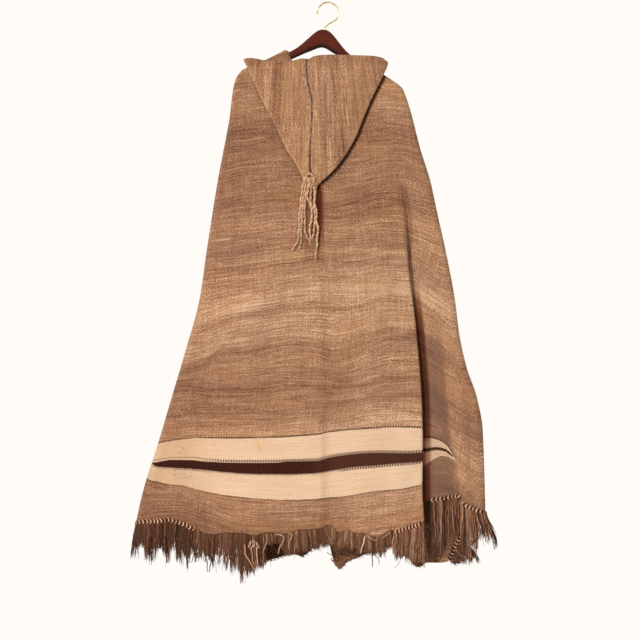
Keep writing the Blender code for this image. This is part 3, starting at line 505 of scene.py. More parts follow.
# Weft lines of the back: place along the warp in metres, then column and drop
weftLines = (
    (0.150, ((0.9, 157), (1.2, 151), (2, 156), (3, 151), (4, 151))),
    (0.367, ((0.9, 380), (1.08, 374), (1.32, 364), (1.6, 371), (1.76, 383), (2, 378), (3, 376), (3.36, 376), (4, 384))),
    (0.445, ((0.9, 455), (1, 453), (1.12, 441), (1.44, 439), (1.66, 468), (1.76, 461), (2, 437), (3, 436), (4, 460))),
    (0.510, ((0.9, 528), (1, 526), (1.12, 513.5), (1.38, 498), (1.44, 498), (1.55, 521), (1.6, 524), (1.82, 506),
             (1.88, 498), (2, 494), (3, 507), (4, 522))),
    (0.594, ((0.9, 614), (1.2, 603), (1.38, 593), (1.55, 595), (1.66, 600), (1.88, 593), (2, 594), (3, 607), (4, 636))),
    (0.670, ((0.9, 698), (1.12, 692), (1.32, 683), (1.44, 676), (1.55, 666), (1.63, 673), (1.76, 672), (1.88, 664),
             (2, 661), (3, 673), (4, 721))),
    (0.784, ((0.9, 844), (1, 843), (1.12, 818), (1.32, 798), (1.44, 787), (1.55, 783), (1.7, 782), (1.88, 768),
             (2, 775), (3, 762), (3.2, 764), (3.44, 782), (4, 831))),
    (0.887, ((0.9, 948), (1, 946), (1.08, 931), (1.12, 913), (1.26, 903), (1.38, 890), (1.44, 886), (1.55, 891),
             (1.63, 906), (1.82, 866), (1.88, 856), (2, 859), (3, 853), (3.2, 853), (3.36, 867), (3.58, 888),
             (3.8, 913), (4, 950))),
    (0.992, ((0.9, 997), (1.04, 993), (1.12, 1001), (1.26, 1002), (1.44, 993), (1.6, 992), (1.66, 999), (1.88, 978),
             (2, 974), (3, 987), (3.2, 992), (3.52, 1027), (4, 1079))),
    (1.0715, ((0.9, 1087), (1, 1085.6), (1.08, 1079), (1.38, 1078), (1.5, 1071.5), (1.7, 1056), (1.82, 1040),
              (2, 1040), (3, 1057), (3.12, 1057), (3.28, 1067), (3.44, 1080), (3.52, 1094), (3.58, 1111),
              (3.64, 1120), (4, 1159))),
    (1.123, ((0, 1180), (0.5, 1156), (0.9, 1141), (1, 1138.5), (1.04, 1134.5), (1.08, 1131.4), (1.12, 1128.8),
             (1.26, 1128.4), (1.44, 1125.7), (1.5, 1123.2), (1.6, 1117.7), (1.63, 1113.1), (1.76, 1104.8),
             (1.82, 1102.6), (1.88, 1099.7), (2, 1101.7), (3, 1127.9), (3.28, 1129.4), (3.44, 1136.7),
             (3.52, 1145.8), (3.58, 1157.1), (3.64, 1172.7), (3.7, 1184.6), (4, 1227.8))),
    (1.1865, ((0, 1191), (0.74, 1194.5), (0.9, 1191.9), (1, 1189.5), (1.04, 1185.1), (1.12, 1185.5), (1.16, 1187.6),
              (1.26, 1190.2), (1.44, 1189.7), (1.5, 1186.5), (1.6, 1184.9), (1.66, 1175.3), (1.76, 1166.6),
              (1.82, 1164.5), (1.94, 1165.6), (2, 1164.1), (3, 1157.3), (3.2, 1156.6), (3.36, 1153.5),
              (3.52, 1158.9), (3.58, 1165.9), (3.64, 1175.9), (3.7, 1185.2), (4, 1229.4))),
    (1.219, ((0, 1191.5), (0.74, 1195), (0.9, 1200.1), (1.04, 1204.3), (1.16, 1208.6), (1.26, 1214.7), (1.38, 1218.5),
             (1.5, 1219.2), (1.6, 1216.5), (1.63, 1214.0), (1.66, 1210.2), (1.76, 1199.9), (1.82, 1197.0),
             (2, 1187.8), (3, 1163.9), (3.2, 1162.8), (3.36, 1159.4), (3.52, 1164.4), (3.58, 1172.3),
             (3.64, 1179.7), (3.7, 1186.1), (4, 1231.0))),
    (1.285, ((0, 1203), (0.5, 1226), (0.9, 1237.5), (1, 1239.7), (1.04, 1244.9), (1.12, 1251.1), (1.16, 1258.5),
             (1.2, 1265.1), (1.26, 1272.0), (1.44, 1282.5), (1.5, 1285.2), (1.7, 1276.7), (1.82, 1263.9),
             (1.94, 1255.1), (2, 1246.9), (3, 1200.2), (3.12, 1200.4), (3.2, 1197.4), (3.28, 1188.7),
             (3.36, 1181.6), (3.44, 1176.2), (3.52, 1176.3), (3.64, 1183.8), (3.7, 1187.1), (4, 1232.5))),
    (1.342, ((0, 1306), (0.9, 1315), (1, 1313), (1.04, 1307), (1.12, 1304), (1.16, 1311), (1.26, 1330), (1.32, 1340),
             (1.44, 1343), (1.82, 1321), (2, 1300), (3, 1222), (3.28, 1220), (3.52, 1227), (3.64, 1242), (4, 1294))),
    (1.408, ((0, 1376), (0.9, 1388), (1, 1384), (1.04, 1376), (1.12, 1369), (1.32, 1402), (1.55, 1408), (1.76, 1396),
             (2, 1379), (3, 1269), (3.44, 1264), (3.58, 1267), (3.7, 1275), (3.9, 1314), (4, 1330))),
)


# Smooth curve through a table's rows, with no overshoot between them
def along(table, at):
    table = np.array(table, float)
    key, value = table[:, 0], table[:, 1]
    at = np.clip(np.asarray(at, float), key[0], key[-1])
    step = np.diff(key)
    steep = np.diff(value) / step
    before, after = steep[:-1], steep[1:]
    sameWay = before * after > 0
    inner = np.where(sameWay, 2 * before * after / np.where(sameWay, before + after, 1), 0)
    slope = np.concatenate([steep[:1], inner, steep[-1:]])
    i = np.clip(np.searchsorted(key, at, side="right") - 1, 0, len(key) - 2)
    t = (at - key[i]) / step[i]
    return (value[i] * (1 + 2 * t) * (1 - t) ** 2 + slope[i] * step[i] * t * (1 - t) ** 2
            + value[i + 1] * t * t * (3 - 2 * t) + slope[i + 1] * step[i] * t * t * (t - 1))


# Soft step: 3 times the share squared less 2 times its cube, held at 0 and 1
def ease(share):
    share = np.clip(share, 0, 1)
    return share * share * (3 - 2 * share)


# Points from x, y and drop
def pointsAt(x, y, drop):
    return np.stack(np.broadcast_arrays(x, y, -drop), axis=-1)


# From 0 at the start to 1 a width further on
def rise(value, start, width):
    return ease((value - start) / width)


# Sum of soft ridges and troughs that run down the cloth, each a two-sided bell
def foldSum(table, x, drop):
    total = np.zeros(np.broadcast(x, drop).shape)
    for x0, drop0, x1, drop1, left, right, height in table:
        down = (drop - drop0) / (drop1 - drop0)
        middle = x0 + (x1 - x0) * down
        width = np.where(x < middle, left, right)
        total = total + height * ease(down / 0.3) * ease((1 - down) / 0.2) * np.exp(-((x - middle) / width) ** 2)
    return total


# Faint unevenness of hanging wool: a few long waves that cross
def ripples(x, drop):
    return (0.55 * np.sin(x / 23 + 1.3 * np.sin(drop / 160)) * np.sin(drop / 210 + 0.7)
            + 0.4 * np.sin(x / 11.5 + drop / 95) * np.sin(drop / 130 + x / 90)
            + 0.35 * np.sin(drop / 19 + 2 * np.sin(x / 120)) * np.sin(x / 70 + 0.4))


# Distance of a panel from the cloak's middle plane: flat at its edges, full inside, plus folds
def panelDepth(depth, folds, rightRise, x, drop):
    left, right = along(cloak["outlineLeft"], drop), along(cloak["outlineRight"], drop)
    turn = along(cloak["sideTurn"], drop)
    share = np.clip((x - left - turn) / (right - left - 2 * turn), 0, 1)
    swell = ease(share / 0.3) * ease((1 - share) / rightRise)
    inside = ease(share / 0.07) * ease((1 - share) / 0.07)
    relief = foldSum(folds, x, drop) + ripples(x, drop) * rise(drop, 150, 200)
    return turn + (along(depth, drop) - turn) * swell + relief * inside


# Depth of the back and of the fronts at a place, the back towards the viewer
def backY(x, drop):
    return -panelDepth(cloak["backDepth"], cloak["backFolds"], 0.17, x, drop)


def frontY(x, drop):
    return panelDepth(cloak["frontDepth"], cloak["frontFolds"], 0.3, x, drop)


# Place across a front: share 0 at its side seam, 1 at its middle
def frontX(side, share, drop):
    seam = along(cloak["outline" + side], drop) - outward[side] * (along(cloak["sideWrap"], drop) + cloak["seamGap"])
    return seam + (along(cloak["middle" + side], drop) + outward[side] * cloak["middleGap"] - seam) * share


# From the side seam on the front, flat and then round the side fold in a half circle, to the back panel
def sideTurnXY(share, drop, side, flat=0.35):
    edge, turn, wrap = (along(cloak[key], drop) for key in ("outline" + side, "sideTurn", "sideWrap"))
    angle = math.pi * (0.5 - np.clip((share - flat) / (1 - flat), 0, 1))
    x = edge - outward[side] * (turn * (1 - np.cos(angle)) + (wrap - turn) * np.clip(1 - share / flat, 0, 1))
    return x, np.where(share < flat, frontY(x, drop), turn * np.sin(angle))


# Plan path of the pleat: a flat lead, a turn back, a stretch, a turn forward and a flat lead
def pleatXY(share, drop, width):
    folded = rise(drop, cloak["pleatStart"], cloak["pleatFull"] - cloak["pleatStart"])
    angle = math.pi * folded
    radius = cloak["pleatTurn"] + cloak["pleatSoft"] * (1 - folded) ** 3
    stretch = cloak["pleatOverlap"] * folded ** 3
    lead = cloak["pleatSpread"] * width * (1 - folded)
    arc = radius * angle
    run = share * (2 * lead + 2 * arc + stretch)
    back = np.clip(run - lead, 0, arc) / radius
    straight = np.clip(run - lead - arc, 0, stretch)
    forward = np.clip(run - lead - arc - stretch, 0, arc) / radius
    level = np.clip(run, 0, lead) + np.clip(run - lead - 2 * arc - stretch, 0, None)
    x = level + straight * np.cos(angle) + radius * (np.sin(back) + np.sin(angle) - np.sin(angle - forward))
    y = straight * np.sin(angle) + radius * (1 - np.cos(back) + np.cos(angle - forward) - np.cos(angle))
    return x, y, radius + lead


# Place on the back at a drop: x runs evenly between the edges of each part, y = depth of the back + the pleat's own.
# Columns: 0-1 left side turn, 1-2 main panel, 2-3 pleat, 3-4 set-back panel, 4-5 right side turn
def backXY(column, drop):
    column, drop = np.broadcast_arrays(np.asarray(column, float), np.asarray(drop, float))
    left, right = along(cloak["outlineLeft"], drop), along(cloak["outlineRight"], drop)
    turn = along(cloak["sideTurn"], drop)
    foldX, foldY, reach = pleatXY(np.clip(column - 2, 0, 1), drop, right - left)
    pleatX = along(cloak["pleatEdge"], drop) - reach
    mainX = left + turn + (pleatX - left - turn) * (column - 1)
    turnedX = pleatX + foldX
    setBack = np.clip(column - 3, 0, 1)
    x = np.select([column < 2, column < 3], [mainX, turnedX], turnedX + (right - turn - turnedX) * setBack)
    y = backY(x, drop) + foldY * (1 - ease(setBack))
    leftX, leftY = sideTurnXY(column, drop, "Left")
    rightX, rightY = sideTurnXY(5 - column, drop, "Right")
    ends = [column < 1, column > 4]
    return np.select(ends, [leftX, rightX], x), np.select(ends, [leftY, rightY], y)


# Place along the warp, in metres, between the weft lines above and below
def weftPlace(column, drop):
    places, tables = zip(*weftLines)
    lines = [along(table, column) for table in tables]
    total = places[0] + np.minimum(drop - lines[0], 0) * mm + np.maximum(drop - lines[-1], 0) * mm
    for low, high, start, end in zip(lines[:-1], lines[1:], places[:-1], places[1:]):
        total = total + np.clip((drop - low) / np.maximum(high - low, 0.2), 0, 1) * (end - start)
    return total


# Source of all random draws
rng = np.random.default_rng(11)


# An object of one mesh, riding on the whole part; replaced names the solids that it stands for
def place(name, mesh, material, slotName, *replaced):
    item = bpy.data.objects.new(name, mesh)
    bpy.context.scene.collection.objects.link(item)
    item.data.materials.append(material)
    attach(item, "root")
    if replaced:
        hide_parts(*replaced)
    return item


# Mesh from points in mm, quads, a weave map per corner, end caps and marks per point
def fillMesh(name, points, quads, weave, caps=None, marks=None):
    quads = quads.reshape(-1, 4)
    corners, starts = quads.ravel(), np.arange(len(quads)) * 4
    if caps is not None and len(caps):
        starts = np.concatenate([starts, len(corners) + np.arange(len(caps)) * caps.shape[1]])
        corners = np.concatenate([corners, caps.ravel()])
        weave = np.concatenate([weave, np.zeros((caps.size, 2))])
    mesh = bpy.data.meshes.new(name)
    mesh.vertices.add(len(points))
    mesh.vertices.foreach_set("co", (points * mm).astype(np.float32).ravel())
    mesh.loops.add(len(corners))
    mesh.loops.foreach_set("vertex_index", corners.astype(np.int32))
    mesh.polygons.add(len(starts))
    mesh.polygons.foreach_set("loop_start", starts.astype(np.int32))
    mesh.update(calc_edges=True)
    mesh.uv_layers.new(name="weave").data.foreach_set("uv", weave.astype(np.float32).ravel())
    for key, values in (marks or {}).items():
        mesh.attributes.new(key, "FLOAT", "POINT").data.foreach_set("value", values.astype(np.float32).ravel())
    mesh.shade_smooth()
    return mesh


# Surface over rows x columns of points; closed joins the last column to the first
def gridMesh(name, points, weave, marks=None, closed=False):
    rows, columns = points.shape[:2]
    index = np.arange(rows * columns).reshape(rows, columns)
    left = index if closed else index[:, :-1]
    right = np.roll(index, -1, axis=1) if closed else index[:, 1:]
    quads = np.stack([left[:-1], left[1:], right[1:], right[:-1]], axis=-1).reshape(-1, 4)
    caps = index[-1:, :] if closed else None
    return fillMesh(name, points.reshape(-1, 3), quads, weave.reshape(-1, 2)[quads.ravel()], caps, marks)


# Vectors scaled to length 1
def unit(vectors):
    return vectors / np.maximum(np.linalg.norm(vectors, axis=-1, keepdims=True), 1e-9)


# Distance run along each path, from 0 at its first point
def distance(paths):
    gone = np.cumsum(np.linalg.norm(np.diff(paths, axis=-2), axis=-1), axis=-1)
    return np.concatenate([np.zeros_like(gone[..., :1]), gone], axis=-1)


# Unit vectors along each path, and two square to it, the first of them nearest to the viewer
def crossings(paths, viewer=np.array((0.0, -1.0, 0.0))):
    run = unit(np.gradient(paths, axis=1))
    near = unit(viewer - (viewer * run).sum(axis=2, keepdims=True) * run)
    return run, near, np.cross(run, near)


# Round tubes along paths (tubes x stations x 3), placed as one piece; radii and tones per tube or station
def placeTubes(name, paths, radii, sides, tone, material, slotName, *replaced):
    count, stations = paths.shape[:2]
    _, near, across = crossings(paths)
    angle = np.arange(sides) * 2 * math.pi / sides
    ring = near[:, :, None] * np.cos(angle)[:, None] + across[:, :, None] * np.sin(angle)[:, None]
    points = paths[:, :, None] + ring * np.broadcast_to(radii, (count, stations))[:, :, None, None]
    index = np.arange(count * stations * sides).reshape(count, stations, sides)
    following = np.roll(index, -1, axis=2)
    quads = np.stack([index[:, :-1], index[:, 1:], following[:, 1:], following[:, :-1]], axis=-1)
    length = distance(paths) * mm
    low, high = (np.broadcast_to(part[..., None], quads.shape[:3]) for part in (length[:, :-1], length[:, 1:]))
    start = np.broadcast_to(np.arange(sides) / sides, quads.shape[:3])
    end = start + 1 / sides
    weave = np.stack([np.stack(pair, -1) for pair in ((start, low), (start, high), (end, high), (end, low))], axis=3)
    caps = np.concatenate([index[:, 0], index[:, -1, ::-1]])
    tone = np.asarray(tone, float)
    tone = np.broadcast_to(tone[:, None] if tone.ndim == 1 else tone, (count, stations))
    marks = {"tone": np.broadcast_to(tone[:, :, None], points.shape[:3])}
    mesh = fillMesh(name, points.reshape(-1, 3), quads, weave.reshape(-1, 2), caps, marks)
    return place(name, mesh, material, slotName, *replaced)


# Even steps from the start, without the end
def spread(start, end, steps):
    return np.linspace(start, end, steps, endpoint=False)


# A cloth: its grid, thickened evenly to both sides, with the inner side's material if it has one of its own
def makeCloth(mesh, points, wall, material, slotName, node, inner=None):
    item = place(mesh.name, mesh, material, slotName, node)
    solid = item.modifiers.new("wool", "SOLIDIFY")
    solid.thickness, solid.offset, solid.use_even_offset = wall * mm, 0, True
    if inner is not None:
        item.data.materials.append(inner)
        solid.material_offset = 1
    print(mesh.name, round(flatArea(points), 3), "m2")
    return item


# Area of a grid in square metres
def flatArea(points):
    a, b = np.diff(points, axis=0)[:, :-1], np.diff(points, axis=1)[:-1]
    return float(np.linalg.norm(np.cross(a, b), axis=2).sum()) * mm * mm


# Drop of every row at every column; rows follow the edges of the bands where these lie apart
def backRows(columns):
    neck, hem = along(cloak["neckBack"], columns), along(cloak["hemBack"], columns)
    keys = [neck]
    for number, least in cloak["edgeLines"]:
        keys.append(np.maximum(along(weftLines[number][1], columns), keys[-1] + least))
    keys.append(hem)
    parts = [low + (high - low) * spread(0, 1, rows)[:, None]
             for low, high, rows in zip(keys[:-1], keys[1:], cloak["rows"])]
    return np.concatenate(parts + [hem[None]])


# Marks of the back's wool: where it is banded, painted shade and painted light that make it darker, lighter or greyer,
# and how far it is from the hood
def backMarks(x, drop, column, weave):
    fromLeft, fromRight = x - along(hood["left"], drop), x - along(hood["right"], drop)
    aside = x - along(cloak["pleatEdge"], drop)
    offCrease = x - along(cloak["crease"], drop)
    fromTassel = x - np.interp(drop, (470, 540, 610, 680), (-31, -29, -27, -25))
    # painted shade: inside the pleat, at the left edge, under the hood and the tassel, along the crease, by the hood
    darker = (
        (0.7, rise(column, 2.02, 0.3) * (1 - rise(column, 3.02, 0.05)) * rise(drop, 420, 500)),
        (0.05, 1 - rise(column, 0.95, 0.4)),
        (1.0, rise(fromLeft, 6, 6) * (1 - rise(fromRight, 2.5, 3)) * (1 - rise(drop, 478, 12)) * rise(drop, 166, 10)),
        (0.3, rise(x, -66, 8) * (1 - rise(x, -24, 8)) * rise(drop, 468, 16) * (1 - rise(drop, 640, 30))),
        (0.075, rise(offCrease, -1.5, 3) * np.exp(-(offCrease / 16) ** 2) * rise(drop, 640, 120) * (column < 2)),
        (0.1, np.exp(-((fromLeft + 1) / 7) ** 2) * (1 - rise(drop, 470, 10))),
        # the tassel's painted cast shadow
        (0.85, rise(fromTassel, -3, 4) * (1 - rise(fromTassel, 11, 11)) * rise(drop, 480, 8)
         * (1 - 0.8 * rise(drop, 560, 90)) * (1 - rise(drop, 655, 30))),
    )
    # painted shadow beside the pleat, less on the cream
    onCream = rise(drop, 1130, 12) * (1 - rise(drop, 1200, 12))
    beside = ((column > 2.5) * (1 - 0.12 * rise(aside, 6, 12)) * (1 - rise(aside, 17, 10)) * rise(drop, 700, 130)
              * (1 - 0.22 * onCream))
    shade = np.clip(np.maximum(sum(share * part for share, part in darker), beside), 0, 1)
    # painted light and painted shade: lighter or darker wool on the right half by drop, darker towards the left edge
    # low down, in the strip left of the set-back panel's fold, and right of it
    lift = along(cloak["rightPaintedLight"], drop) * rise(x, 20, 60) * (column < 3)
    lift = lift + 0.42 * np.minimum(weave[..., 0], 0) * rise(weave[..., 1], 0.88, 0.17)
    fold = rise(x - np.interp(drop, *zip(*cloak["setBackFold"])), -13, 14)
    inner = (column > 3) * (1 - fold) * rise(drop, 820, 130)
    lift = lift - inner * (0.22 - 0.1 * rise(drop, 1140, 80)) + (column > 3) * 0.1 * (1 - rise(drop, 760, 70))
    lift = lift + (column > 3) * fold * np.interp(drop, *zip(*cloak["outerPaintedLight"]))
    return {"banded": rise(column, 0.03, 0.05) * (1 - rise(column, 3.66, 0.05)), "shade": shade, "lift": lift,
            "grey": inner, "fromHood": fromRight * mm}


# The back: backXY over a grid of columns, closer where the cloth turns, and rows along the bands
def makeBack(woolCloth):
    columns = np.concatenate([spread(0, 0.35, 4), spread(0.35, 1, 20), spread(1, 2, 132), spread(2, 3, 30),
                              spread(3, 4, 44), spread(4, 4.65, 14), np.linspace(4.65, 5, 5)])
    drop = backRows(columns)
    column = np.broadcast_to(columns, drop.shape)
    x, y = backXY(column, drop)
    points = pointsAt(x, y, drop)
    run = distance(points[..., :2])
    crease = np.array([np.interp(1.56, columns, row) for row in run])[:, None]
    weave = np.stack([(run - crease) * mm, weftPlace(column, drop)], axis=-1)
    mesh = gridMesh("cloakBack", points, weave, backMarks(x, drop, column, weave))
    return makeCloth(mesh, points, cloak["wall"], woolCloth, "brown_wool", "cloak_back")


# A front: a grid from its side seam to its middle and from the neck to the hem
def makeFront(side, woolCloth, darkCloth):
    share, level = np.linspace(0, 1, 130), np.linspace(0, 1, 124)[:, None]
    top, bottom = along(cloak["neck" + side], share), along(cloak["hem" + side], share)
    drop = top + (bottom - top) * level
    x = frontX(side, share, drop)
    # the grid runs so that its faces point outwards
    x, drop = x[:, ::outward[side]], drop[:, ::outward[side]]
    points = pointsAt(x, frontY(x, drop), drop)
    seamColumn = np.full(drop.shape, 0.0 if side == "Left" else 5.0)
    weave = np.stack([x * mm + 2.0, weftPlace(seamColumn, drop)], axis=-1)
    # painted light: lighter where the right front's corner shows below the back; the inner side darker below the neck,
    # partly a darker facing and partly painted shade, less so in that corner
    corner = rise(drop, 1300, 14) * rise(x, 284, 12)
    marks = {"shade": 0.5 * rise(drop, 240, 60) * (1 - 0.6 * corner), "lift": 0.45 * corner}
    mesh = gridMesh("front" + side, points, weave, marks)
    return makeCloth(mesh, points, cloak["wall"], woolCloth, "brown_wool", "cloak_front_" + side.lower(), darkCloth)


# The hood's shape and its wool's zones; tables go by drop, or by the share of the width
hood = {
    "left": ((140, -219), (153, -217), (168, -209), (201, -195), (250, -172), (322, -135), (385, -106), (432, -77),
             (482, -54)),
    "right": ((135, 150), (159, 154), (188, 143.5), (244, 116), (296, 93.5), (356, 69), (424, 26.5), (482, -32)),
    "top": ((0, 149), (0.03, 147.5), (0.08, 150), (0.14, 155), (0.3, 159), (0.36, 155), (0.4, 152), (0.45, 153),
            (0.465, 151), (0.49, 146), (0.55, 143), (0.62, 142), (0.8, 142.5), (0.9, 143), (0.97, 147), (1, 156)),
    "neck": ((0, 156), (0.1, 170), (0.3, 175), (0.7, 172), (0.93, 166), (1, 163)),
    "tip": 482, "edge": 2.9,
    "swell": ((135, 15), (200, 12), (300, 10), (420, 6), (482, 1)), "swellShape": 0.7,
    "slack": ((165, 0), (225, 1.6)),
    "lift": ((0, 0.0), (0.5, 1.5), (0.85, 3.5), (1, 4.5)), "liftStart": 130, "liftRun": 60,
    "folds": ((-12, 150, -14, 430, 16, 8, 5.0), (-118, 160, -95, 380, 22, 18, 4.0), (78, 150, 40, 360, 26, 20, 4.5),
              (-96, 150, -88, 330, 7, 5, 2.6), (-128, 160, -118, 330, 9, 6, 2.0), (62, 150, 44, 330, 6, 7, -2.0)),
    # the middle seam: drop, x; depth and half width of its groove
    "seam": ((140, -56), (163, -55.9), (198, -54.1), (235, -46.7), (267, -41.3), (312, -41.3), (358, -44.4),
             (394, -46.7), (427, -46.7), (450, -44.4), (482, -43)),
    "groove": 2.6, "grooveWidth": 3.2,
    "darkLines": ((0.387, 0.145, 0.245, 0.0014, 0.75), (0.293, 0.15, 0.27, 0.0012, 0.45),
                  (0.166, 0.15, 0.25, 0.0012, 0.4),
                  (0.345, 0.15, 0.36, 0.0011, 0.35), (0.207, 0.16, 0.3, 0.0011, 0.4)),
    "zones": ((0.0, 0.5), (0.1, 0.4), (0.125, 0.38), (0.146, 0.5), (0.158, 0.43), (0.166, 0.3), (0.173, 0.3),
              (0.182, 0.34), (0.19, 0.48), (0.2, 0.53), (0.207, 0.6), (0.213, 0.56), (0.222, 0.54), (0.232, 0.44),
              (0.242, 0.5), (0.25, 0.42), (0.258, 0.5), (0.268, 0.62), (0.276, 0.42), (0.283, 0.5), (0.292, 0.66),
              (0.302, 0.54), (0.31, 0.4), (0.318, 0.46), (0.328, 0.5), (0.338, 0.55), (0.348, 0.53), (0.36, 0.4),
              (0.372, 0.52), (0.382, 0.54), (0.395, 0.5), (0.42, 0.42), (0.5, 0.5)),
    # distance of the inner layer's middle from the back's; stitches of the middle seam: first, last, pitch, heavy ones
    "wall": 2.4, "gap": 3.35, "stitches": (160, 474, 4.3), "heavyFrom": 388,
}


# Columns round the hood: share of the width, layer from 0 inner to 1 outer, and sideways turn
def hoodRing():
    bends = np.linspace(0, math.pi, 9)[1:-1]
    outer = [(share, 1.0, 0.0) for share in np.linspace(0, 1, 130)]
    right = [(1.0, 0.5 + 0.5 * math.cos(bend), math.sin(bend)) for bend in bends]
    inner = [(share, 0.0, 0.0) for share in np.linspace(1, 0, 80)]
    left = [(0.0, 0.5 - 0.5 * math.cos(bend), -math.sin(bend)) for bend in bends]
    return np.array(outer + right + inner + left)


# Place on the hood: x runs between its edges by share; y = inner layer, in front of the back by a gap and a lift,
# and for the outer layer further out by two edges, a swell and folds, less the seam's groove
def hoodPoints(ring, levels):
    share, outer, turn = (ring[:, i][None, :] for i in range(3))
    level = np.asarray(levels, float)[:, None]
    top = along(hood["neck"], share) * (1 - outer) + along(hood["top"], share) * outer
    drop = top + (hood["tip"] - top) * level
    left, right = along(hood["left"], drop) + hood["edge"], along(hood["right"], drop) - hood["edge"]
    x = left + (right - left) * share + hood["edge"] * turn
    near = backY(x, drop) - hood["gap"] - along(hood["slack"], drop)
    innerY = near - along(hood["lift"], share) * rise(drop, hood["liftStart"], hood["liftRun"])
    swell = along(hood["swell"], drop) * np.sin(math.pi * share) ** hood["swellShape"]
    seam = x - along(hood["seam"], drop)
    groove = hood["groove"] * np.exp(-(seam / hood["grooveWidth"]) ** 2) - 1.2 * np.exp(-((seam - 9) / 6) ** 2)
    outerY = innerY - 2 * hood["edge"] - swell - foldSum(hood["folds"], x, drop) + groove * rise(drop, 150, 40)
    y = innerY + (outerY - innerY) * outer
    return pointsAt(x, y, drop)


# Place on the hood's outer layer at a given x and drop
def outerHood(x, drop):
    left, right = along(hood["left"], drop) + hood["edge"], along(hood["right"], drop) - hood["edge"]
    share = np.clip((x - left) / (right - left), 0, 1)
    top = along(hood["top"], share)
    level = np.clip((drop - top) / (hood["tip"] - top), 0, 1)
    ring = np.stack([share, np.ones_like(share), np.zeros_like(share)], axis=1)
    return np.concatenate([hoodPoints(ring[i:i + 1], level[i:i + 1])[0] for i in range(len(share))])


# The hood: hoodPoints over its ring of columns and even rows, closed at the tip
def makeHood(woolCloth):
    points = hoodPoints(hoodRing(), np.linspace(0, 1, 102))
    x, drop = points[..., 0], -points[..., 2]
    # the weave fans out a little from the tip
    weave = np.stack([(x + 50) * (1 - 0.0008 * (drop - 150)) * mm + 0.25, drop * mm], axis=-1)
    # marks: place beside the seam, a painted highlight along the left edge (worn), and painted shade near the top edge
    marks = {"aside": (x - along(hood["seam"], drop)) * mm,
             "worn": np.exp(-((x - along(hood["left"], drop) - 1) / 2.6) ** 2),
             "shade": 0.12 * (1 - rise(drop, 150, 30)), "lift": np.zeros(drop.shape)}
    mesh = gridMesh("hoodCloth", points, weave, marks, closed=True)
    return makeCloth(mesh, points, hood["wall"], woolCloth, "tan_wool", "hood")


# Whip stitches across the hood's middle seam, each a small arch, heavier lower down
def makeHoodSeam(thread):
    drop = np.arange(*hood["stitches"])
    heavy = rise(drop, hood["heavyFrom"], 12)
    x = along(hood["seam"], drop) + rng.uniform(-0.5, 0.5, len(drop))
    lean, half = rng.uniform(-1.2, 1.8, len(drop)), rng.uniform(1.2, 2.4, len(drop)) * (1 + 0.6 * heavy)
    t = np.linspace(-1, 1, 7)
    paths = np.stack([outerHood(x + at * half, drop + at * lean) + np.array([0, -1.0 - 0.9 * (1 - at ** 2), 0])
                      for at in t], axis=1)
    radii = (0.55 + 0.45 * heavy)[:, None] * (1 - 0.5 * t ** 2)
    tone = rng.uniform(0, 1, len(drop)) * (1 - 0.5 * heavy)
    placeTubes("hoodSeamStitches", paths, radii, 6, tone, thread, "tan_wool")


# Tassel of the hood: each cord as rows of x and drop
tassel = {
    "cords": (
        ((-60, 455), (-63.5, 474), (-67, 491), (-69.6, 522), (-72.2, 546), (-73.8, 572), (-75, 598), (-76, 617),
         (-84, 631), (-91, 644)),
        ((-57, 455), (-59, 480), (-63, 505), (-65.5, 531), (-67, 557), (-68.6, 582), (-69, 608), (-71, 626),
         (-73, 641)),
        ((-53, 458), (-52.7, 482), (-55.8, 498), (-60, 532), (-60.4, 563), (-58.8, 594), (-54.2, 611), (-49, 621)),
        ((-48, 460), (-50, 487), (-54.2, 506), (-50.6, 518), (-47, 524), (-41.4, 546), (-44, 572), (-47, 598),
         (-45, 624)),
        ((-36, 456), (-30.6, 477), (-33, 500), (-36.7, 522), (-34.7, 546), (-34, 572), (-37.3, 598), (-41, 616)),
        ((-41, 458), (-35, 490), (-35.2, 518), (-30.6, 546), (-29.5, 572), (-26.2, 589), (-28, 615), (-29.8, 641),
         (-31.6, 668)),
        ((-44, 456), (-43.5, 485), (-45.5, 500), (-44, 522), (-41, 540)),
    ),
    "radius": 2.9, "pitch": 17.0, "stations": 84, "hairs": 900, "proudCords": (3, 5),
    # the cords start on the hood's point: distance in front of the back there, and the drop where it has run out
    "lift": 10.5, "liftEnd": 505, "liftRun": 48,
    # arch over the hood's point: x, drop, distance in front of the hood
    "arch": ((-59, 476, 3), (-58.5, 464, 5), (-54, 454, 7), (-47, 450, 7.5), (-40, 453, 7), (-35.5, 463, 5),
             (-35, 478, 3)),
}


# A cord's x and drop at even drops down its route, with a slight waver
def downRoute(route, stations, waver, period, phase=0.0):
    table = np.array(route, float)
    drop = np.linspace(table[0, 1], table[-1, 1], stations)
    return along(table[:, ::-1], drop) + waver * np.sin(drop / period + phase), drop


# Two plies that wind round a path: each is the path moved out by half a radius, turning along it
def twine(path, radius, pitch, phase):
    _, near, across = crossings(path[None])
    length = distance(path)
    slack = 0.8 * np.sin(length / 19 + 5 * phase) + 0.5 * np.sin(length / 7.3 + 2 * phase)
    turn = (2 * math.pi * length / pitch + slack)[None] + (phase + np.array([0, math.pi]))[:, None]
    return path + (near * np.cos(turn)[..., None] + across * np.sin(turn)[..., None]) * radius * 0.52


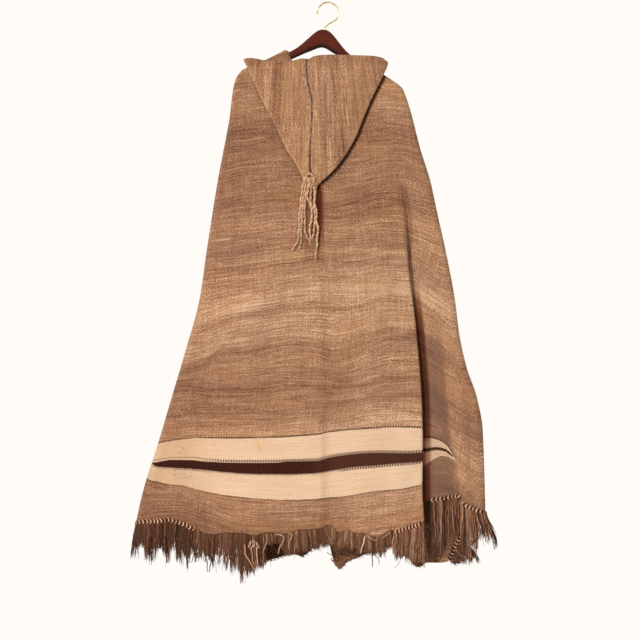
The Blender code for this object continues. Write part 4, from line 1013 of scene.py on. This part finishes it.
# Loose two-ply cords that fall from the hood's point, and an arch of cord over the point
def makeTassel(yarn):
    paths, tone, radius = [], [], tassel["radius"]
    for number, cord in enumerate(tassel["cords"]):
        x, drop = downRoute(cord, tassel["stations"], 0.7, 7, number)
        proud = 3.0 if number in tassel["proudCords"] else 0.6
        lifted = (tassel["lift"] * ease((tassel["liftEnd"] - drop) / tassel["liftRun"])
                  + proud * (0.6 + 0.4 * np.sin(drop / 21 + 2 * number)))
        path = pointsAt(x, backY(x, drop) - 1.5 - radius * 1.15 - lifted, drop)
        paths.append(twine(path, radius, tassel["pitch"] * (1 + 0.1 * math.sin(number)), number))
        tone += [0.4 + 0.14 * math.sin(3 * number), 0.84 + 0.12 * math.sin(5 * number)]
    arch = np.array(tassel["arch"], float)
    at = np.linspace(0, len(arch) - 1, tassel["stations"])
    x, drop, front = (along(np.stack([np.arange(len(arch)), part], axis=1), at) for part in arch.T)
    y = outerHood(x, np.minimum(drop, 470))[:, 1] - front
    paths = np.concatenate(paths + [twine(pointsAt(x, y, drop), radius, tassel["pitch"], 0.5)])
    t = np.linspace(0, 1, paths.shape[1])
    phase = rng.uniform(0, 6.3, (3, len(paths), 1))
    lumps = 1 + 0.2 * np.sin(31 * t + phase[0]) + 0.17 * np.sin(53 * t + phase[1]) + 0.12 * np.sin(90 * t + phase[2])
    radii = radius * 0.62 * lumps * (1 - 0.45 * t ** 6)
    placeTubes("hoodTassel", paths, radii, 8, tone + [0.85, 0.3], yarn, "tan_wool", "hood_tassel")
    # unravelled ends, six to a ply
    roots = np.repeat(paths[:-2, -1], 6, axis=0)
    roots = roots + rng.normal(0, 0.9, roots.shape)
    fall = rng.uniform(6, 17, len(roots))
    lean = rng.normal(0, 0.28, len(roots)) - 0.25 * (roots[:, 0] < -70)
    t = np.linspace(0, 1, 8)
    x = roots[:, :1] + lean[:, None] * fall[:, None] * t + rng.normal(0, 0.7, (len(roots), 1)) * np.sin(5 * t)
    drop = -roots[:, 2:] - 3 + fall[:, None] * t
    frays = pointsAt(x, np.minimum(backY(x, drop) - 2.2, roots[:, 1:2] + 6 * t), drop)
    tone = rng.uniform(0.4, 0.9, len(roots))
    placeTubes("tasselEnds", frays, 0.6 * (1 - 0.6 * t), 5, tone, yarn, "tan_wool")
    # single hairs that stand off the cords
    count = tassel["hairs"]
    knots = paths[:-2].reshape(-1, 3)
    roots = knots[rng.integers(0, len(knots), count)]
    t = np.linspace(0, 1, 4)
    ways = unit(rng.normal(0, 1, (count, 3)) * (1, 0.5, 1))
    hairs = roots[:, None] + ways[:, None] * (t * rng.uniform(3, 6.5, (count, 1)))[..., None]
    hairs[..., 1] = np.minimum(hairs[..., 1], backY(hairs[..., 0], -hairs[..., 2]) - 1.6)
    placeTubes("tasselHairs", hairs, 0.24 * (1 - 0.6 * t), 3, rng.uniform(0.4, 0.9, count), yarn, "tan_wool")


# Points on a hem at shares of the length between two of its columns, with outward, downward and the length
def hemPath(panel, first, last, shares):
    dense = np.linspace(first, last, 500)
    drop = along(cloak["hemBack" if panel == "back" else "hemRight"], dense)
    if panel == "back":
        x, y = backXY(dense, drop)
    else:
        x = frontX("Right", dense, drop)
        y = frontY(x, drop)
    points = pointsAt(x, y, drop)
    length = distance(points)
    path = np.stack([np.interp(np.asarray(shares) * length[-1], length, part) for part in points.T], axis=1)
    run = np.gradient(path, axis=0)
    out = unit(np.stack([run[:, 1], -run[:, 0], np.zeros(len(run))], axis=1))
    down = np.cross(run, out)
    return path, out, unit(down * np.where(down[:, 2:] > 0, -1, 1)), length[-1]


braid = {
    # name, node, panel, first and last column, pairs of stitches, way that the chevrons point
    "runs": (("braidLeft", "braid_left", "back", 0.78, 1.19, 17, 1),
             ("braidRight", "braid_right", "back", 1.9, 1.995, 8, -1),
             ("braidInner", "braid_inner", "back", 3.28, 3.745, 8, -1),
             ("braidOuter", "braid_outer", "back", 3.765, 4.13, 6, -1),
             ("braidCorner", "braid_corner", "right", 0.096, 0.0, 8, -1)),
    "height": 11.0, "proud": 1.9, "thick": 3.0, "bow": 4.0, "yarn": 2.1,
    "creamTone": 0.84, "fadedTone": 0.66, "darkTone": 0.14, "fadedShare": 0.2,
}


# Row of bowed strokes, cream and dark by turns, raised along the braid's middle
def makeBraid(name, node, panel, first, last, pairs, way, yarn):
    count = 2 * pairs
    number, t = np.arange(count), np.linspace(-1, 1, 11)
    path, out, down, length = hemPath(panel, first, last, (number + 0.5) / count)
    run = unit(np.gradient(path, axis=0))
    pitch = length / count
    bow = way * braid["bow"] * min(1.0, pitch / 4.2)
    shape = 1 - t ** 2 if way > 0 else 1 - np.sqrt(t ** 2 + 0.01)
    raised = braid["proud"] + braid["thick"] * 0.5 * np.sqrt(np.clip(1.04 - t ** 2, 0, 1))
    raised = raised + 0.35 * np.sin(number * 1.7)[:, None]
    strokes = (path[:, None] + down[:, None] * (t * braid["height"] / 2)[:, None]
               + run[:, None] * (bow * shape - bow * 0.5)[:, None] + out[:, None] * raised[..., None])
    pale = number % 2 == 0
    widest = min(braid["yarn"], pitch * 0.56) * np.where(pale, 0.88, 1.12)[:, None]
    radii = widest * (0.42 + 0.58 * (1 - np.abs(t) ** 2.2)) * rng.uniform(0.85, 1.12, count)[:, None]
    faded = rng.uniform(0, 1, count) < braid["fadedShare"]
    cream = np.where(faded, braid["fadedTone"], braid["creamTone"])
    tone = np.where(pale, cream, braid["darkTone"]) + rng.uniform(-0.08, 0.1, count)
    placeTubes(name, strokes, radii, 8, tone, yarn, "two_colour_braid", node)


fringe = {
    # name, node, panel, first and last column; along it: share, length of the mass, length of the tips beyond it;
    # lean and tone of the yarn at both ends, height of the roots above the hem at the first end, spread of the tones
    "runs": (
        ("fringeLeft", "fringe_left", "back", 0.74, 1.2,
         ((0, 64, 36), (0.3, 76, 42), (0.6, 82, 36), (0.85, 82, 32), (0.9, 64, 26), (0.94, 38, 14), (1, 30, 12)),
         (-9, 2), (0.27, 0.21), 0, 1.15),
        ("fringeMidLeft", "fringe_mid_left", "back", 1.186, 1.435,
         ((0, 42, 14), (0.08, 50, 40), (0.15, 54, 54), (0.45, 54, 66), (0.54, 62, 50), (0.58, 94, 34), (0.7, 110, 26),
          (0.84, 94, 10), (1, 74, 6)), (-2, 6), (0.42, 0.28), 14, 1.4),
        ("fringeMid", "fringe_mid", "back", 1.428, 1.685,
         ((0, 50, 6), (0.06, 26, 8), (0.2, 24, 10), (0.3, 50, 8), (0.6, 52, 8), (1, 42, 6)),
         (2, 5), (0.44, 0.42), 0, 1.3),
        ("fringeFlap", "fringe_flap", "back", 1.68, 1.885, ((0, 34, 10), (0.5, 42, 14), (0.9, 46, 12), (1, 34, 8)),
         (-4, 4), (0.64, 0.42), 0, 1.4),
        ("fringeMidRight", "fringe_mid_right", "back", 1.895, 2.045,
         ((0, 62, 10), (0.55, 80, 12), (0.7, 100, 10), (1, 110, 8)), (-3, -2), (0.6, 0.52), 0, 1.5),
        ("fringeInner", "fringe_inner", "back", 3.27, 3.742,
         ((0, 144, 4), (0.45, 140, 6), (0.54, 100, 8), (0.8, 92, 8), (1, 92, 8)), (-1, 3), (0.2, 0.44), 0, 2.4),
        ("fringeOuter", "fringe_outer", "back", 3.748, 4.36,
         ((0, 100, 10), (0.1, 116, 16), (0.18, 122, 56), (0.3, 120, 60), (0.42, 82, 30), (0.5, 80, 48), (0.64, 60, 18),
          (0.8, 66, 42), (1, 70, 32)), (2, 21), (0.48, 0.28), 0, 2.6),
        ("fringeCorner", "fringe_corner", "right", 0.096, 0.0, ((0, 10, 5), (0.3, 22, 9), (0.6, 40, 12), (1, 62, 16)),
         (12, 35), (0.26, 0.38), 0, 1.8),
    ),
    # density is yarns per mm; lock and tuft are widths; layer is half the fringe's thickness
    "radius": 0.95, "density": 4.7, "lock": 10.0, "tuft": 3.4, "layer": 2.8,
    # shares of the yarns that are short, stray, or thin and wavy
    "short": 0.58, "stray": 0.05, "frizzy": 0.13,
}


# Yarns that fall from the hem: short ones end in small tufts, long ones draw together in locks beyond them
def makeFringe(name, node, panel, first, last, lengths, leans, tones, rising, contrast, yarn):
    path, out, down, length = hemPath(panel, first, last, np.linspace(0, 1, 400))
    count = int(length * fringe["density"])
    shares = np.clip((np.arange(count) + rng.uniform(-0.8, 0.8, count)) / (count - 1), 0, 1)
    root, side, fall = (np.stack([np.interp(shares * 399, np.arange(400), line) for line in part.T], axis=1)
                        for part in (path, out, down))
    run = unit(np.cross(side, fall))
    run = run * np.sign((run * (path[-1] - path[0])).sum(axis=1, keepdims=True))
    # the lock and the tuft that each yarn belongs to, and how far it is from their middles
    locks, tufts = max(int(length / fringe["lock"]), 2), int(length / fringe["tuft"]) + 1
    centre = (np.arange(locks) + 0.5 + rng.uniform(-0.48, 0.48, locks)) / locks
    own = np.abs(shares[:, None] - centre).argmin(axis=1)
    aside = (shares - centre[own]) * length
    short = rng.uniform(0, 1, count) < fringe["short"]
    stray = rng.uniform(0, 1, count) < fringe["stray"]
    tuft = np.clip((shares * length / fringe["tuft"] + rng.normal(0, 0.3, count)).astype(int), 0, tufts - 1)
    offTuft = shares * length - (tuft + 0.5) * fringe["tuft"]
    keys, masses, tips = np.array(lengths, float).T
    mass = np.interp(shares, keys, masses)
    longer = (np.interp(shares, keys, tips) * rng.uniform(0, 1, locks)[own] ** 0.8 * rng.uniform(0.7, 1.05, count)
              * (1 - 0.2 * np.minimum(np.abs(aside) / 6, 1) ** 2))
    reach = (mass * rng.uniform(0.88, 1.06, tufts)[tuft] * rng.uniform(0.93, 1.04, count)
             * (1 - 0.1 * np.minimum(np.abs(offTuft) / 1.7, 1) ** 2))
    reach = reach + np.where(short, 0, longer) + np.where(stray, 7, 0)
    follow = np.where(short, 0.15, 1)
    lean = np.interp(shares, (0, 1), leans) + rng.normal(0, 5.0, locks)[own] * follow + rng.normal(0, 1.6, count)
    lean = lean + np.where(stray, rng.normal(0, 7.0, count), 0)
    t = np.linspace(0, 1, 8 if max(masses) < 90 else 10)
    frizzy = rng.uniform(0, 1, count) < fringe["frizzy"]
    loose = np.where(frizzy, 3.0, 1.0)[:, None]
    bends = np.sqrt(mass[:, None] / 60)

    # one wave for each lock, one for each tuft and one for each yarn
    def waves(size, slowest, fastest):
        turn, phase = rng.uniform(slowest, fastest, (locks, 1)), rng.uniform(0, 6.3, (locks, 1))
        shared = (np.sin(t * turn + phase) - np.sin(phase)) * rng.uniform(0.4, 1.0, (locks, 1)) * 1.6
        turn, phase = rng.uniform(5, 13, (count, 1)) * bends, rng.uniform(0, 6.3, (count, 1))
        bend, start = rng.uniform(4, 10, (tufts, 1))[tuft], rng.uniform(0, 6.3, (tufts, 1))[tuft]
        each = (np.sin(t * bend * bends + start) - np.sin(start)) * rng.uniform(0.2, 0.75, (tufts, 1))[tuft]
        single = np.sin(t * turn + phase) * (0.3 + t) * rng.uniform(0.3, 1.1, (count, 1)) * loose
        return (shared[own] * follow[:, None] + each * np.where(short, 0.5, 1)[:, None] + single) * size

    pull = np.where(short | stray, 0, rng.uniform(0.4, 0.85, locks)[own])
    gather = np.where(short, rng.uniform(0.05, 0.5, tufts)[tuft], 0)
    layer = rng.uniform(-1, 1, count)[:, None] * fringe["layer"]
    shift = (-(pull * aside)[:, None] * rise(t, 0.45, 0.55) - (gather * offTuft)[:, None] * rise(t, 0.6, 0.4)
             + waves(1.0, 2.5, 6.0))
    depth = (1.2 + layer * 0.6) * (1 - t) + layer * (1 - 0.5 * t) * t + waves(0.7, 2, 5) + 0.8
    start = rng.uniform(0.5, 4.5, count)[:, None] + rising * np.clip(1 - shares / 0.16, 0, 1)[:, None]
    paths = root[:, None] + run[:, None] * shift[..., None] + side[:, None] * depth[..., None]
    paths[..., 0] += lean[:, None] * ease(t) + fall[:, :1] * 3 * t
    paths[..., 2] = root[:, 2:] + start - (reach[:, None] + start) * t
    radii = (fringe["radius"] * rng.uniform(0.7, 1.25, count) * np.where(frizzy, 0.5, 1))[:, None] * (1 - 0.65 * t ** 3)
    # tone by lock, tuft and yarn, a few paler yarns, and painted shade in depth: yarns further out lighter, nearer the
    # cloth darker
    varied = (rng.normal(0, 0.03, locks)[own] + rng.normal(0, 0.07, tufts)[tuft] + rng.normal(0, 0.07, count)
              + (rng.uniform(0, 1, count) < 0.1) * 0.2 + layer[:, 0] * 0.04)
    tone = np.clip(np.interp(shares, (0, 1), tones) + varied * contrast, 0.03, 0.95)[:, None] + 0.2 * t ** 4
    placeTubes(name, paths, radii, 3, tone, yarn, "dark_fringe", node)


# Single cords in the fringe: route as x and drop, radius, yarn, tone, distance in front of the cloth
cords = {
    "paleThread": (((93.6, 1378), (92, 1391), (84.6, 1407), (83.8, 1420)), 1.9, "pale", 0.95, 6),
    "paleThreadAcross": (((97, 1373), (107, 1381), (117, 1386.8), (126.5, 1389)), 1.2, "pale", 0.6, 5),
    "paleThreadRise": (((159, 1366.5), (150, 1373), (139.6, 1382)), 1.2, "pale", 0.55, 5),
    "tanLock": (((169, 1376), (166, 1388), (163, 1404)), 2.2, "pale", 0.2, 5),
    "strayYarn": (((185.6, 1428), (182, 1442), (177.4, 1450), (167.3, 1460)), 0.6, "dark", 0.3, 4),
    "strayPair": (((113.5, 1385), (115, 1407), (112.5, 1430), (113.4, 1455)), 1.7, "dark", 0.12, 5),
    "strayPairRight": (((115, 1400), (118.2, 1420), (129, 1438), (129.8, 1450)), 1.2, "dark", 0.4, 5),
    "tipLeft": (((-459, 1385), (-457, 1410), (-456, 1434)), 1.9, "dark", 0.1, 5),
    "tipEdge": (((-475.5, 1366), (-476.5, 1385), (-478, 1411)), 2.7, "dark", 0.24, 4),
    "tipEdgeRight": (((-472.5, 1366), (-472, 1388), (-471.5, 1417)), 2.7, "dark", 0.3, 4),
    "tipNotch": (((-434.5, 1366), (-435, 1390), (-433.5, 1412)), 2.7, "dark", 0.2, 4),
    "tipMiddle": (((-418, 1380), (-416, 1420), (-414.5, 1448)), 2.1, "dark", 0.12, 5),
    "cordLeft": (((-357, 1372), (-356.4, 1396), (-353.1, 1417), (-358, 1448)), 1.9, "dark", 0.2, 5),
    "cordMid": (((-350, 1374), (-348.2, 1397), (-343.3, 1417), (-351.6, 1448)), 1.7, "dark", 0.3, 5),
    "cordRight": (((-345, 1374), (-343.3, 1396), (-336.9, 1424), (-343.3, 1447)), 2.1, "dark", 0.34, 5),
    "tipInner": (((-322, 1384), (-317.1, 1424), (-310.4, 1450), (-308.9, 1471)), 1.8, "dark", 0.4, 5),
    "tipInnerRight": (((-308, 1384), (-305.5, 1417), (-300.9, 1440), (-304, 1471)), 1.9, "dark", 0.16, 5),
    "tipThin": (((-297, 1390), (-295.8, 1422), (-287.6, 1450), (-286, 1473)), 0.9, "dark", 0.6, 5),
    "longLoopLeft": (((-214, 1398), (-210.5, 1421), (-201.5, 1439), (-192.5, 1454), (-185, 1462)), 1.9, "dark", 0.9, 8),
    "longLoopMid": (((-197.5, 1404), (-192.5, 1426), (-193.5, 1439), (-187, 1452)), 1.7, "dark", 0.88, 8),
    "longLoopRight": (((-183.5, 1404), (-181, 1428), (-181, 1441), (-178.5, 1456)), 2.0, "dark", 0.95, 8),
    "hemLoop": (((-158.8, 1371), (-154.9, 1384), (-162.7, 1404), (-166.5, 1420)), 1.7, "dark", 0.85, 6),
    "hemLoopMid": (((-137, 1372), (-119.5, 1374), (-112.5, 1382), (-115.6, 1392), (-125.4, 1408), (-127, 1422)),
                   2.0, "dark", 0.88, 6),
    "hemLoopRight": (((-102, 1370), (-92, 1373), (-93.8, 1382), (-100.7, 1396), (-101.8, 1404), (-97.9, 1412)),
                     1.7, "dark", 0.85, 6),
}
# A little knotted braid, as upright loops side by side: x and drop of the middle, half width and height, lean
knot = ((-200, 1397, 2.0, 8, -2.5), (-194.5, 1405, 1.8, 6, -4.0), (-190, 1395, 2.2, 8.5, 0.5),
        (-180.5, 1399, 2.0, 7.5, 3.0))


# Two-ply cords down their routes, and the rings of the knot
def makeDetail(yarns, cream, stations=40):
    taper = 1 - 0.5 * np.linspace(0, 1, stations) ** 4
    for name, (route, radius, yarn, tone, proud) in cords.items():
        x, drop = downRoute(route, stations, 0.8, 6)
        path = pointsAt(x, backY(x, np.minimum(drop, 1392)) - proud, drop)
        placeTubes(name, twine(path, radius, 6.0, 0.0), radius * 0.6 * taper, 6, [tone, tone + 0.12], yarns[yarn],
                   "dark_fringe")
    t = np.linspace(0, 2 * math.pi, 28)
    rings = []
    for x0, drop0, wide, tall, lean in knot:
        x, drop = x0 + wide * np.sin(t) - lean * np.cos(t), drop0 - tall * np.cos(t)
        rings.append(pointsAt(x, backY(np.full_like(x, x0), 1385) - 6.5 - 1.2 * np.sin(2 * t), drop))
    placeTubes("knottedLoop", np.stack(rings), 0.8, 8, [1.0, 0.85, 1.0, 0.95], cream, "two_colour_braid")


# Pile on the inner side of the fronts: shares of the hem that have it, height, tufts, their reach, curl, tones
pile = {
    "Left": {"shares": (0.55, 1.0), "high": 60, "count": 900, "reach": (9, 22), "curl": 0, "tones": (0.2, 0.66)},
    "Right": {"shares": (0.15, 0.98), "high": 95, "count": 2800, "reach": (6, 13), "curl": 1, "tones": (0.5, 0.56)},
}


# Tufts that lie down and across the cloth; curl turns each one round its own middle
def makePile(side, yarn):
    shares, high, count, reaches, curl, tones = pile[side].values()
    share = rng.uniform(*shares, count)
    bottom = along(cloak["hem" + side], share)
    corner = 12 * ease((0.3 - share) / 0.02)
    up = rng.uniform(0, 1, count) ** 0.8 * high + corner
    t = np.linspace(0, 1, 6)
    reach = rng.uniform(*reaches, count)[:, None]
    slant = rng.normal(0.35, 0.5, count)[:, None] * (1 + curl)
    lowest = (bottom - corner * 0.7)[:, None] + rng.uniform(0, 4, count)[:, None]
    drop = np.minimum((bottom - up - 4)[:, None] + reach * t, lowest)
    x = frontX(side, share[:, None], drop) + slant * reach * (t - 0.5)
    turn = rng.uniform(0, 6.3, (count, 1))
    x = x + rng.uniform(-1, 1, count)[:, None] * np.sin(4 * t) + curl * 1.8 * np.sin(6 * t + turn)
    drop = drop + curl * 1.8 * np.cos(6 * t + turn)
    raised = 1.6 + rng.uniform(0.2, 1.6, count)[:, None] * np.sin(math.pi * (0.1 + 0.8 * t))
    paths = pointsAt(x, frontY(x, np.minimum(drop, bottom[:, None])) - raised, drop)
    radii = rng.uniform(0.7, 1.25, count)[:, None] * (1 - 0.5 * t ** 2)
    # on the curled pile, tufts higher up are lighter: painted light against the shade under the back's hem
    tone = np.clip(rng.normal(np.interp(share, shares, tones), 0.2) + 0.35 * curl * (up - corner) / high, 0, 1)
    placeTubes("pile" + side, paths, radii, 3, tone, yarn, "dark_fringe")


# Stitches over the side seams of the fronts
def makeSideSeams(thread, pitch=6.0):
    t = np.linspace(-1, 1, 7)
    for side in outward:
        drop = np.arange(cloak["neck" + side][0][1] + 6, cloak["hem" + side][0][1] - 4, pitch)
        seam = along(cloak["outline" + side], drop) - outward[side] * along(cloak["sideWrap"], drop)
        x, at = seam[:, None] + t * 3.0, drop[:, None] + t * 1.5
        paths = pointsAt(x, frontY(x, at) + 1.2 + 0.9 * (1 - t ** 2), at)
        tone = rng.uniform(0.2, 0.5, len(drop))
        placeTubes("sideSeam" + side, paths, 0.55 * (1 - 0.4 * t ** 2), 5, tone, thread, "brown_wool")


# Loose fibres that stand off the wool
def makeFuzz(yarn, count=3600):
    column, level = rng.uniform(0.3, 4.6, count), rng.uniform(0.01, 0.995, count)
    top, hem = along(cloak["neckBack"], column), along(cloak["hemBack"], column)
    drop = top + (hem - top) * level
    x, y = backXY(column, drop)
    nextX, nextY = backXY(column + 0.01, drop)
    out = unit(np.stack([nextY - y, x - nextX, np.zeros(count)], axis=1))
    t = np.linspace(0, 1, 4)
    reach = rng.uniform(2.0, 6.5, count)[:, None]
    way = unit(rng.normal(0, 1, (count, 3)))
    paths = (pointsAt(x, y, drop)[:, None] + out[:, None] * (1.2 + reach * t * 0.45)[..., None]
             + way[:, None] * (reach * t ** 1.5)[..., None] * 0.8)
    placeTubes("looseFibres", paths, 0.11 * (1 - 0.7 * t), 3, rng.uniform(0.4, 1, count), yarn, "brown_wool")


# Hanger: curves of the wood about its own apex, as x and depth below the apex, and the wire hook
hanger = {
    "top": ((-195, 128), (-182, 119), (-140, 95), (-84, 66), (-65, 53), (-53, 42), (-39, 27), (-21, 9), (-10, 2),
            (0, 0),
            (10, 2), (21, 9), (39, 27), (53, 42), (65, 53), (84, 66), (140, 95), (182, 119), (195, 128)),
    "under": ((-195, 146.5), (-188, 146), (-140, 119), (-80, 86), (-30, 59), (0, 47), (30, 59), (80, 86), (140, 119),
              (188, 146), (195, 146.5)),
    "apex": (-10.5, 69.0), "tilt": 5.0, "half": 6.0,
    "wire": 1.8, "stations": 120, "arc": 27.0, "neck": ((22.5, 41.5), (12.5, 48.5), (3.0, 54.0), (-4.5, 60.5)),
    "ball": ((0.0, 1.0), (0.8, 1.15), (2.0, 1.6), (3.4, 1.95), (4.8, 1.95), (5.8, 1.6), (6.4, 1.1), (6.7, 0.3)),
}


# From places about the wood's own apex to x and height
def tilted(x, depth):
    turn = math.radians(hanger["tilt"])
    apexX, apexDrop = hanger["apex"]
    return (apexX + x * math.cos(turn) - depth * math.sin(turn),
            -apexDrop - x * math.sin(turn) - depth * math.cos(turn))


# Section along x: a rounded box between the top and under curves, closing at both tips
def makeHanger(varnish, brass):
    x = np.concatenate([[-195], spread(-194.6, -186, 8), spread(-186, 186, 150), np.linspace(186, 194.6, 9), [195]])
    top, under = along(hanger["top"], x), along(hanger["under"], x)
    close = np.sqrt(np.clip(1 - ((np.abs(x) - 183) / 12.01).clip(0, 1) ** 2, 0, 1))
    middle, half = (top + under) / 2, (under - top) / 2 * (0.12 + 0.88 * close)
    angle = spread(0, 2 * math.pi, 40)
    high = np.sign(np.sin(angle)) * np.abs(np.sin(angle)) ** 0.55
    wide = np.sign(np.cos(angle)) * np.abs(np.cos(angle)) ** 0.5
    groove = 1 - 0.1 * np.exp(-((high + 0.62) / 0.1) ** 2)
    y = hanger["half"] * wide * groove * (0.25 + 0.75 * close[:, None])
    across, height = tilted(x[:, None], middle[:, None] - half[:, None] * high)
    points = np.stack([across, y, height], axis=-1)
    index = np.arange(y.size).reshape(y.shape)
    following = np.roll(index, -1, axis=1)
    quads = np.stack([index[:-1], following[:-1], following[1:], index[1:]], axis=-1)
    caps = np.stack([index[0][::-1], index[-1]])
    # painted shade on the underside of the wood
    marks = {"shade": np.broadcast_to(ease((-0.46 - high) / 0.22), y.shape)}
    mesh = fillMesh("woodenHanger", points.reshape(-1, 3), quads, np.zeros((quads.size, 2)), caps, marks)
    place("woodenHanger", mesh, varnish, "mahogany", "hanger_wood")
    # the hook: a straight stem in the wood, its neck, the arc and the ball at its end
    arc = [(hanger["arc"] * math.cos(turn), hanger["arc"] * (math.sin(turn) - 1) + hanger["wire"])
           for turn in np.radians(np.linspace(-12, 172, 17))]
    neck = [(across, -drop) for across, drop in hanger["neck"]]
    through = np.array([tilted(0, depth) for depth in (15, 4, -2)] + neck[::-1] + arc)
    length = distance(through)
    at = np.linspace(0, length[-1], hanger["stations"])
    line = np.stack([along(np.stack([length, part], axis=1), at) for part in through.T], axis=1)
    ball = np.array(hanger["ball"])[1:]
    line = np.concatenate([line, line[-1] + unit(line[-1] - line[-2]) * ball[:, :1]])
    radii = np.concatenate([np.ones(hanger["stations"]), ball[:, 1]]) * hanger["wire"]
    path = np.stack([line[:, 0], np.zeros(len(line)), line[:, 1]], axis=1)
    placeTubes("hangerHook", path[None], radii[None], 20, [0.5], brass, "brass_wire", "hanger_hook")


# Build: the stage, the materials, the cloth, then the trim
setStage()
print("stage set")
backWool = makeWool("brownWool")
frontWool = makeWool("brownWoolPlain", banded=False, shaded=False)
hoodWool = makeWool("tanWool", crosswise=True, banded=False, zones=hood["zones"], hue=-0.06, seamed=True)
# lining wool, darkened by the mark shade: partly a darker facing, partly painted shade
liningWool = makeWool("darkLining", banded=False)
darkYarn = makeYarn("darkYarn", (0.0, "#2E140B"), (0.25, "#51301F"), (0.5, "#704A34"), (0.75, "#8C6149"),
                    (1.0, "#CBA07F"))
# pile yarn for the right front: partly its own colour, partly painted light against the shade under the back
pileYarn = makeYarn("pileYarn", (0.0, "#54321F"), (0.5, "#94674D"), (1.0, "#D2A382"))
tanYarn = makeYarn("tanYarn", (0.0, "#8F6549"), (0.4, "#BC8F6C"), (0.7, "#D3A985"), (1.0, "#E6C3A2"), ply=0.0028)
braidYarn = makeYarn("braidYarn", (0.0, "#2E130B"), (0.3, "#502A1B"), (0.5, "#83593E"), (0.72, "#CF9E7E"),
                     (1.0, "#E3BB9C"), ply=0.003)
seamThread = makeYarn("seamThread", (0.0, "#3A2528"), (0.4, "#6B4F55"), (0.75, "#A08589"), (1.0, "#C6B2AA"), ply=0.002)
print("materials made")

backCloth = makeBack(backWool)
leftCloth, rightCloth = (makeFront(side, frontWool, liningWool) for side in outward)
hoodCloth = makeHood(hoodWool)
makeHoodSeam(seamThread)
makeTassel(tanYarn)
print("cloth made")
for run in braid["runs"]:
    makeBraid(*run, braidYarn)
for run in fringe["runs"]:
    makeFringe(*run, darkYarn)
makePile("Left", darkYarn)
makePile("Right", pileYarn)
makeDetail({"dark": darkYarn, "pale": tanYarn}, braidYarn)
makeSideSeams(tanYarn)
makeFuzz(tanYarn)
makeHanger(makeMahogany(), makeBrass())
print("trim made")
